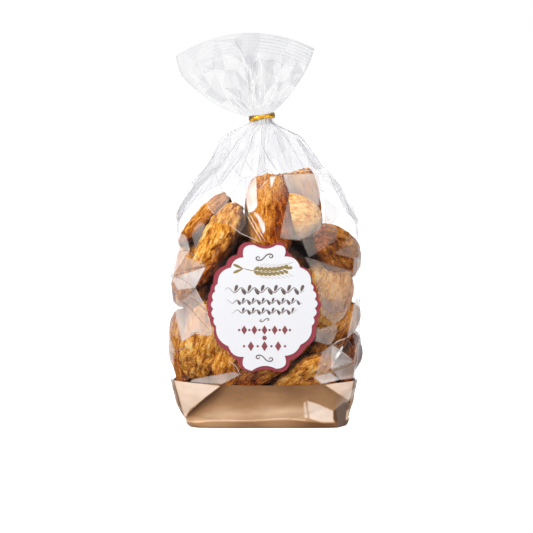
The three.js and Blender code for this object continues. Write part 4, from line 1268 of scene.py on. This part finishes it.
EDGE_FROM = 118.0  # the panels' outer edges show as lines from this height up
FOLD_LOOKS = {  # how milky each kind of fold is painted, and that painted milk's tone
    "white": (0.7, 1.0), "glint": (0.95, 1.0), "dark": (0.5, 0.0), "soft": (0.25, 0.0),
    "brown": (0.5, 0.27),
}


def lines_in_front():
    """The single folds of the front and the rims of its painted reflections, laid on the film."""
    count = film_points.shape[0] * film_points.shape[1]
    both = np.concatenate([film_points.reshape(-1, 3), fan_points.reshape(-1, 3)]).tolist()
    tree = BVHTree.FromPolygons(both, film_faces + (np.array(fan_faces) + count).tolist())
    s, c = math.sin(CAMERA_ELEVATION), math.cos(CAMERA_ELEVATION)
    eye = Vector((0, -CAMERA_DISTANCE * c, VIEW_MIDDLE + CAMERA_DISTANCE * s))
    lines = []

    def lay(course, *looks):
        """Adds a line along a course in the front view, where the film is behind it."""
        course = np.array(course)
        run = np.append(0, np.cumsum(np.hypot(*np.diff(course, axis=0).T)))
        steps = np.linspace(0, run[-1], max(4, int(run[-1] / 0.8)))
        line, away = [], []
        for u, w in zip(np.interp(steps, run, course[:, 0]), np.interp(steps, run, course[:, 1])):
            toward = Vector((u, w * s, VIEW_MIDDLE + w * c)) - eye
            hit, normal = tree.ray_cast(eye, toward.normalized())[:2]
            if hit is not None:
                line.append(hit)
                away.append(normal if normal.dot(toward) < 0 else -normal)
        if len(line) > 3:
            lines.append((np.array(line), np.array(away), *looks))

    for kind, width, course in FOLD_LINES:
        lay(course, width, *FOLD_LOOKS[kind])
    # The rims of the painted reflections get thin painted highlight lines.
    for milk_and_painted_glare, warmth, outline in PAINTED_GLARE_FACETS:
        if warmth > 0:
            for start, end in zip(outline, outline[1:] + outline[:1]):
                lay([start, end], 0.26, 0.12 + 0.3 * milk_and_painted_glare, 0.6 + 0.4 * warmth)
    return lines


def panel_edges(out):
    """Painted shade lines down the outer edges of the front panel and the back panel, above the filled
    part.
    """
    rows = np.nonzero(film_points[:, 0, 2] > EDGE_FROM)[0]
    front = np.abs(FILM_PLACES - 0.5) < 0.25
    lines = []
    for side in (-1, 1):
        for panel in (front, ~front):
            column = np.where(panel, side * film_points[rows, :, 0], -1e3).argmax(1)
            column = np.convolve(np.pad(column, 6, "edge"), np.ones(13) / 13, "valid")
            column = np.round(column).astype(int)
            lines.append((film_points[rows, column], out[rows, column], 0.6, *FOLD_LOOKS["dark"]))
    return lines


def lines_behind(out):
    """Some of the folds of the sides and the back, along the net's edges, as painted highlight or shade
    lines.
    """
    edges = {tuple(sorted((face[k], face[k - 1]))) for face in film_net.faces.tolist() for k in range(3)}
    draw = np.random.default_rng(61)
    lines = []
    for first, second in sorted(edges):
        start, end = film_net.points[first], film_net.points[second]
        middle = (start + end) / 2
        behind = 62 <= abs(middle[0]) <= GIRTH / 2 and min(start[1], end[1]) >= PRINT_TOP
        if not behind or draw.random() < 0.6:
            continue
        share = np.linspace(0, 1, max(5, int(math.dist(start, end))))[:, None]
        rows, columns = film_grid(start + (end - start) * share, len(film_points))
        near = np.round(rows).astype(int), np.round(columns).astype(int)
        below, left = rows.astype(int), columns.astype(int)
        right = (left + 1) % len(FILM_PLACES)
        up, over = (rows - below)[:, None], (columns - left)[:, None]
        low = film_points[below, left] * (1 - over) + film_points[below, right] * over
        high = film_points[below + 1, left] * (1 - over) + film_points[below + 1, right] * over
        look = (0.5, 0.95) if draw.random() < 0.6 else (0.35, 0.0)
        lines.append((low * (1 - up) + high * up, out[near], draw.uniform(0.2, 0.45), *look))
    return lines


def film_creases():
    out = outward(film_points)
    seam = [(film_points[:, column], out[:, column], 0.5, 0.45, 0.9) for column in SEAM_COLUMNS]
    return ridges(lines_in_front() + panel_edges(out) + lines_behind(out) + seam)


film_piece("film_creases", *film_creases())

# ---- twist tie ---------------------------------------------------------------------------------
# A gold foil ribbon with a wire down its middle, wound once round the neck, twisted together behind it and
# cut off with two short ends. It stands a little lower on the left.

RIBBON_HALF = 1.3  # half the ribbon's width
WIRE_RADIUS = 0.5
FOIL_HALF = 0.16  # half the foil's thickness
SECTION_POINTS = 16  # points round the ribbon's section
TIE_TILT = 8.5  # degrees
LOOP_STEPS = 150  # sections round the neck
STEM_STEPS = 48
STEM_LENGTH = 8.0
TAIL_STEPS = 24
TAIL_LENGTH = 6.0


def ribbon_section(middle, thin, tall, wide=RIBBON_HALF):
    """The outline of the ribbon across its length: flat foil that swells round the wire."""
    turns = np.arange(SECTION_POINTS) / SECTION_POINTS * 2 * math.pi
    swell = FOIL_HALF + (WIRE_RADIUS - FOIL_HALF) * hump(np.sin(turns), 0, 0.3)
    return middle + np.outer(np.cos(turns) * swell, thin) + np.outer(np.sin(turns) * wide, tall)


def twist_tie():
    """The loop round the neck, the twisted stem behind it and its two ends, as points and faces."""
    reach = np.array(NECK_HALF) + 0.75
    loop = []
    for k in range(LOOP_STEPS):
        turn = 2 * math.pi * k / LOOP_STEPS
        away = np.array([math.cos(turn), math.sin(turn), 0])
        crinkle = 0.3 * math.sin(9 * turn) + 0.2 * math.sin(17 * turn + 1)
        roll = math.sin(5 * turn)
        tall = np.array([0.3 * math.cos(turn) * roll, 0.3 * math.sin(turn) * roll, 1])
        sag = 0.9 * math.exp(-((turn - math.pi * 1.04) / 0.22) ** 2)
        rise = 0.35 * math.sin(3 * turn) - sag
        middle = np.array([reach[0] * math.cos(turn), reach[1] * math.sin(turn), rise])
        pinch = 1 - 0.22 * math.exp(-((turn - math.pi * 1.45) / 0.5) ** 2)
        loop.append(ribbon_section(middle + away * 0.12 * crinkle, away, tall, RIBBON_HALF * pinch))
    faces = ring_faces(LOOP_STEPS, SECTION_POINTS)
    last = (LOOP_STEPS - 1) * SECTION_POINTS
    for i in range(SECTION_POINTS):
        after = (i + 1) % SECTION_POINTS
        faces.append([last + i, last + after, after, i])
    parts = [np.array(loop).reshape(-1, 3)]

    def strip(sections):
        """Adds a length of ribbon that is shut at both ends."""
        base = sum(map(len, parts))
        faces.extend([[base + i for i in face] for face in ring_faces(len(sections), SECTION_POINTS)])
        faces.append([base + i for i in range(SECTION_POINTS)])
        last = base + (len(sections) - 1) * SECTION_POINTS
        faces.append([last + i for i in reversed(range(SECTION_POINTS))])
        parts.append(np.array(sections).reshape(-1, 3))

    root, tip = np.array([0, reach[1] - 0.2, 0]), np.array([0, reach[1] + STEM_LENGTH, -0.8])
    for phase in (0, math.pi):
        stem = []
        for k in range(STEM_STEPS + 1):
            turn = phase + k / STEM_STEPS * 5 * math.pi
            offset = np.array([math.cos(turn), 0, math.sin(turn)])
            aside = np.array([-math.sin(turn), 0, math.cos(turn)])
            middle = root + (tip - root) * k / STEM_STEPS + offset * 0.55
            stem.append(ribbon_section(middle, offset, aside, RIBBON_HALF * 0.62))
        strip(stem)
    for side in (-1, 1):
        tail = []
        for k in range(TAIL_STEPS + 1):
            t = k / TAIL_STEPS
            bend = [side * TAIL_LENGTH * t, 3.5 * t * (1 - t) - 0.4, -0.7 * t * t + 0.4 * side * t]
            thin = np.array([0, 0.9, 0.4 * math.sin(4 * t)])
            tail.append(ribbon_section(tip + np.array(bend), thin, np.array([0, 0, 1.0])))
        strip(tail)
    points = np.concatenate(parts)
    tilt = math.radians(TIE_TILT)
    c, s = math.cos(tilt), math.sin(tilt)
    turning = np.array([[c, 0, -s], [0, 1, 0], [s, 0, c]])
    return points @ turning.T + (NECK_X, 0, TIE_Z), faces


def foil_finish():
    foil = Finish("gold_foil")
    crease = foil.cloud(900.0, 3.0)
    # The crinkles' hollows are painted dark gold and their crests bright: painted shade and highlight.
    tone = foil.mix(crease, paint(134, 86, 6), paint(210, 164, 52))
    bump = foil.bump(crease, 0.5, 0.0004)
    return foil.surface(foil.principled(tone, 0.22 + 0.15 * crease, bump, Metallic=1.0))


tie_points, tie_faces = twist_tie()
tie_piece = mesh_piece("gold_twist", tie_points, tie_faces, foil_finish(), "gold_tie")
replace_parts(tie_piece, "twist_tie")

# ---- label -------------------------------------------------------------------------------------
# A scalloped paper label in two layers, rose under white, is glued to the front. The rose layer shows as a
# border that is broadest at the upper left and the lower right.

# The lobed edge of each layer, clockwise from the left end of the dip at its top: the points where the
# lobes meet, as the distance from the bag's middle and the height, and how far the edge swells out on its
# way to the next one.
ROSE_EDGE = [
    (-7.0, 114.7, -1.8), (5.1, 114.8, 2.5), (12.1, 110.2, 0.1), (16.3, 105.9, 0.7), (20.4, 100.9, 2.7),
    (27.9, 90.3, 1.2), (29.6, 85.7, 1.2), (31.3, 80.4, 1.6), (31.9, 74.4, 1.0), (31.0, 68.9, 1.0),
    (29.8, 63.8, 2.4), (24.1, 51.6, 1.3), (14.2, 43.1, 3.1), (5.7, 36.4, -1.6), (-8.2, 35.8, 2.3),
    (-17.2, 42.7, 0.5), (-23.9, 49.3, 2.8), (-31.9, 63.4, 1.0), (-33.9, 68.9, 1.1), (-35.2, 74.2, 1.1),
    (-35.2, 80.4, 0.8), (-33.7, 85.6, 0.9), (-32.2, 90.2, 2.8), (-24.5, 101.2, 1.8), (-17.8, 107.6, 3.9),
]
WHITE_EDGE = [
    (-7.3, 113.6, -2.2), (6.0, 113.6, 3.1), (10.8, 106.7, 2.3), (20.3, 100.0, 2.5), (26.9, 89.9, 1.0),
    (28.0, 86.0, 1.5), (29.2, 80.7, 1.7), (29.2, 75.2, 1.6), (28.3, 69.8, 1.2), (27.4, 64.5, 2.4),
    (20.6, 52.9, 1.9), (11.0, 46.1, 3.4), (5.7, 38.2, -2.3), (-8.8, 37.0, 3.1), (-13.7, 45.5, 2.3),
    (-23.1, 51.9, 2.5), (-30.6, 64.3, 1.0), (-31.6, 69.2, 1.5), (-32.2, 74.8, 1.4), (-32.2, 80.0, 1.3),
    (-31.0, 85.5, 1.0), (-29.5, 90.0, 2.6), (-21.5, 99.9, 1.9), (-13.9, 106.1, 3.4),
]


def paper_finish(name, color, shade):
    paper = Finish(name)
    fibre = paper.cloud(900.0, 4.0)
    tone = paper.mix(paper.cloud(30.0, 2.0), color, shade)
    bump = paper.bump(fibre, 0.12, 0.0002)
    return paper.surface(paper.principled(tone, 0.5 + 0.15 * fibre, bump, Specular_IOR_Level=0.25))


def lobed(edge):
    """A closed outline whose edge swells out between the points where its lobes meet."""
    outline = []
    for (x, z, swell), (next_x, next_z, _) in zip(edge, edge[1:] + edge[:1]):
        start, end = np.array([x, z]), np.array([next_x, next_z])
        out = np.array([z - next_z, next_x - x]) / math.dist(start, end)
        middle = (start + end) / 2 + 2 * swell * out
        share = np.arange(14)[:, None] / 14
        outline.append((1 - share) ** 2 * start + 2 * share * (1 - share) * middle + share ** 2 * end)
    return np.concatenate(outline)


def paper_layer(name, node, edge, finish, slot):
    """A flat layer of that outline, as near and as thick as its node."""
    low, high = (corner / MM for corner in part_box(node))
    outline = lobed(edge)
    count = len(outline)
    front, back = (np.insert(outline, 1, y, 1) for y in (low.y, high.y))
    points = np.concatenate([front, front, back, back])
    faces = [list(range(count)), list(reversed(range(3 * count, 4 * count)))]
    faces += [[count + i for i in face] for face in ring_faces(2, count)]
    piece = mesh_piece(name, points, faces, finish, slot)
    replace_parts(piece, node)


paper_layer("label_rose_layer", "label_backing", ROSE_EDGE,
            paper_finish("rose_paper", paint(154, 60, 72), paint(145, 53, 66)), "label_rose")
paper_layer("label_white_layer", "label_face", WHITE_EDGE,
            paper_finish("white_paper", paint(236, 236, 239), paint(232, 232, 236)), "label_paper")

# ---- printed ornament --------------------------------------------------------------------------
# The face carries plain traditional ornament in brown, olive and rose ink: scrolls, an ear of wheat, three
# running vines, and two chains of lozenges and dots.

FACE_LOW, FACE_HIGH = (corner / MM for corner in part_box("label_face"))
FACE_X = (FACE_LOW.x + FACE_HIGH.x) / 2
INK_Y = FACE_LOW.y - 0.03
INK_RISE = 0.05  # the ink's thickness


class Ink:
    """Flat shapes of one ink on the label's face, each a low ridge or a low mound."""

    def __init__(self):
        self.points, self.faces = [], []

    def stroke(self, line, width):
        """A line of a width in mm, thinner towards both ends."""
        line = np.array(line, float)
        run = np.gradient(line, axis=0)
        aside = np.stack([-run[:, 1], run[:, 0]], 1) / np.linalg.norm(run, axis=1)[:, None]
        share = np.linspace(0, 1, len(line))
        half = width / 2 * np.clip(np.sin(share * math.pi) * 2.5, 0.35, 1)[:, None]
        base = len(self.points)
        for near, middle, far in zip(line - aside * half, line, line + aside * half):
            self.points += [(*near, 0), (*middle, INK_RISE), (*far, 0)]
        self.faces += [[base + i for i in face] for face in ring_faces(len(line), 3, closed=False)]

    def mound(self, outline, middle):
        """A filled outline, as the rim of a low mound."""
        base = len(self.points)
        self.points += [(*point, 0) for point in outline] + [(*middle, INK_RISE)]
        count = len(outline)
        self.faces += [[base + i, base + (i + 1) % count, base + count] for i in range(count)]

    def leaf(self, x, z, length, width, degrees):
        """A pointed leaf that grows from a point at an angle above the right."""
        turn = np.arange(18) / 18 * 2 * math.pi
        along, aside = (1 - np.cos(turn)) / 2 * length, np.sin(turn) * (1 - 0.35 * np.cos(turn)) * width / 2
        c, s = math.cos(math.radians(degrees)), math.sin(math.radians(degrees))
        self.mound(np.stack([x + along * c - aside * s, z + along * s + aside * c], 1),
                   (x + length / 2 * c, z + length / 2 * s))

    def piece(self, name, finish, slot):
        flat = np.array(self.points)
        points = np.stack([FACE_X + flat[:, 0], INK_Y - flat[:, 2], flat[:, 1]], 1)
        mesh_piece(name, points, self.faces, finish, slot)


def scroll(x, z, width, flip=1):
    """A level S-shaped line that curls up at both ends, as it bends more and more from its middle."""
    run = np.linspace(-1, 1, 161)
    heading = 7.2 * run ** 2
    points = np.cumsum(np.stack([np.cos(heading), np.sin(heading)], 1), 0)
    points -= points[80]
    slant = math.atan2(*points[-40:].mean(0)[::-1]) + 0.12
    c, s = math.cos(slant), math.sin(slant)
    points = points @ np.array([[c, -s], [s, c]])
    return points * (width / np.ptp(points[:, 0])) * (1, 0.8 * flip) + (x, z)


VINES = (  # height, half its length, how far it swings, length of a swing, length of its leaves
    (86.2, 24, 1.5, 8, 4.4), (79.2, 23, 1.0, 6, 3.2), (73.2, 20, 1.0, 6, 3.2))
CHAINS = ((61.9, 15.4, 2.9), (52.0, 12.4, 3.1))  # height, half its length, half a lozenge's height
DOT = 0.75  # radius of the dots between the lozenges


def vine(ink, z, half, rise, pitch, leaf):
    """A waving stem with a leaf on each side in turn."""
    course = [(x, z + rise * math.sin(2 * math.pi * x / pitch)) for x in np.linspace(-half, half, 121)]
    ink.stroke(course, 0.5)
    for k in range(-int(2 * half / pitch) + 1, int(2 * half / pitch)):
        side = 1 if k % 2 else -1
        x = (k + 0.5) * pitch / 2
        foot = z + rise * math.sin(2 * math.pi * x / pitch) * 0.6
        ink.leaf(x, foot, leaf, leaf * 0.42, 62 * side + 8)


def wheat(ink):
    """An ear of wheat on its side, with a beard at each grain and two leaves on its stalk."""
    def stalk(x):
        return 97.5 + 0.012 * x * x

    ink.stroke([(x, stalk(x)) for x in np.linspace(-14, 12, 41)], 0.5)
    for k in range(8):
        x = -6.5 + 2.5 * k
        for side in (-1, 1):
            foot = stalk(x) + side * 0.5
            ink.leaf(x, foot, 3.7, 1.8, side * 28)
            beard = [(x + on, foot + side * off) for on, off in ((3, 1.9), (5, 3.2), (7, 4.2))]
            ink.stroke(beard, 0.2)
    ink.leaf(12.6, 99.4, 4.4, 1.8, 8)
    for side in (-1, 1):
        ink.leaf(-13, 99.3, 6.5, 1.6, 180 - 24 * side)


def chain(ink, z, half, size):
    """Lozenges and dots in turn."""
    count = round(half / (size * 1.15))
    for k in range(-count, count + 1):
        x = k * half / count
        if k % 2:
            rim = [(x + DOT * math.cos(t), z + DOT * math.sin(t)) for t in np.arange(12) * math.pi / 6]
        else:
            rim = [(x + size * 0.62, z), (x, z + size), (x - size * 0.62, z), (x, z - size)]
        ink.mound(rim, (x, z))


def ornament():
    grey, olive, rose = Ink(), Ink(), Ink()
    grey.stroke(scroll(0, 106.3, 10, -1), 0.75)
    grey.stroke(scroll(0, 44.6, 10), 0.7)
    grey.stroke(scroll(0, 68, 5.5, -1), 0.5)
    for course in VINES:
        vine(grey, *course)
    wheat(olive)
    for course in CHAINS:
        chain(rose, *course)
    for degrees in range(0, 360, 60):
        rose.leaf(0, 57, 1.6, 0.9, degrees)
    ink = {"grey_ink": paint(104, 88, 84), "olive_ink": paint(150, 128, 74), "rose_ink": paint(140, 72, 78)}
    for (name, color), drawn in zip(ink.items(), (grey, olive, rose)):
        look = paper_finish(name, color, tuple(0.85 * level for level in color[:3]) + (1,))
        drawn.piece(name, look, "label_rose" if drawn is rose else "label_paper")


ornament()

# ---- studio ------------------------------------------------------------------------------------
# A plain white floor, two tall softboxes in front, one overhead, and a white surround.

VIEW_WIDTH = 330.5  # what the picture is wide, in millimetres at the bag
SENSOR_WIDTH = 36
FLOOR_HALF = 4  # metres


def white_floor():
    mesh = bpy.data.meshes.new("floor")
    corners = [(x * FLOOR_HALF, y * FLOOR_HALF, 0) for x, y in ((-1, -1), (1, -1), (1, 1), (-1, 1))]
    mesh.from_pydata(corners, [], [(0, 1, 2, 3)])
    floor = bpy.data.objects.new("floor", mesh)
    bpy.context.scene.collection.objects.link(floor)
    white = Finish("white_floor")
    shader = white.node("BsdfPrincipled", sockets={
        "Base Color": (0.8, 0.8, 0.8, 1), "Roughness": 0.7, "Emission Color": (1, 1, 1, 1),
        "Emission Strength": 1.0})
    mesh.materials.append(white.surface(shader).material)
    floor.visible_diffuse = False


def white_surround():
    """White to the camera, half as bright in anything's gloss, and dim as a light, most so in front."""
    world = bpy.data.worlds.new("surround")
    bpy.context.scene.world = world
    world.use_nodes = True
    around = Nodes(world.node_tree)
    place = around.node("TexCoord", out="Generated")
    back = around.node("SeparateXYZ", sockets={0: place}, out="Y")
    dim = around.node("MapRange", sockets={
        "Value": back, "From Min": -0.3, "From Max": 0.5, "To Min": 0.14, "To Max": 0.34})
    mirrored = around.node("LightPath", out="Is Glossy Ray") * 0.5
    shown = mirrored.most(around.node("LightPath", out="Is Camera Ray"))
    light = around.node("Background", sockets={"Color": (1, 1, 1, 1), "Strength": dim.most(shown)})
    around.node("OutputWorld", sockets={"Surface": light})


def studio():
    scene = bpy.context.scene
    scene.view_settings.view_transform = "Standard"
    white_floor()
    white_surround()

    def softbox(name, azimuth, elevation, distance, size, radiance):
        """A soft lamp at a bearing from the front and a height in degrees, a distance off in metres."""
        lamp = bpy.data.lights.new(name, "AREA")
        lamp.shape = "RECTANGLE"
        lamp.size, lamp.size_y = size
        lamp.energy = radiance * size[0] * size[1] * math.pi
        made = bpy.data.objects.new(name, lamp)
        scene.collection.objects.link(made)
        a, e = math.radians(azimuth), math.radians(elevation)
        away = Vector((math.sin(a) * math.cos(e), -math.cos(a) * math.cos(e), math.sin(e)))
        made.location = Vector((0, 0, 0.1)) + away * distance
        made.rotation_euler = (-away).to_track_quat("-Z", "Y").to_euler()
        made.visible_camera = False

    softbox("left_box", -42, 26, 0.95, (0.3, 0.8), 11.5)
    softbox("right_box", 40, 20, 0.95, (0.3, 0.8), 4.4)
    softbox("top_box", -10, 66, 1.1, (0.9, 0.7), 2.7)
    softbox("back_box", 180, 35, 1.1, (0.9, 0.5), 2.0)

    lens = bpy.data.cameras.new("camera")
    lens.sensor_width = SENSOR_WIDTH
    lens.lens = lens.sensor_width * CAMERA_DISTANCE / VIEW_WIDTH
    camera = bpy.data.objects.new("camera", lens)
    scene.collection.objects.link(camera)
    back = Vector((0, -math.cos(CAMERA_ELEVATION), math.sin(CAMERA_ELEVATION)))
    camera.location = (Vector((0, 0, VIEW_MIDDLE)) + back * CAMERA_DISTANCE) * MM
    camera.rotation_euler = (-back).to_track_quat("-Z", "Y").to_euler()
    scene.camera = camera


studio()
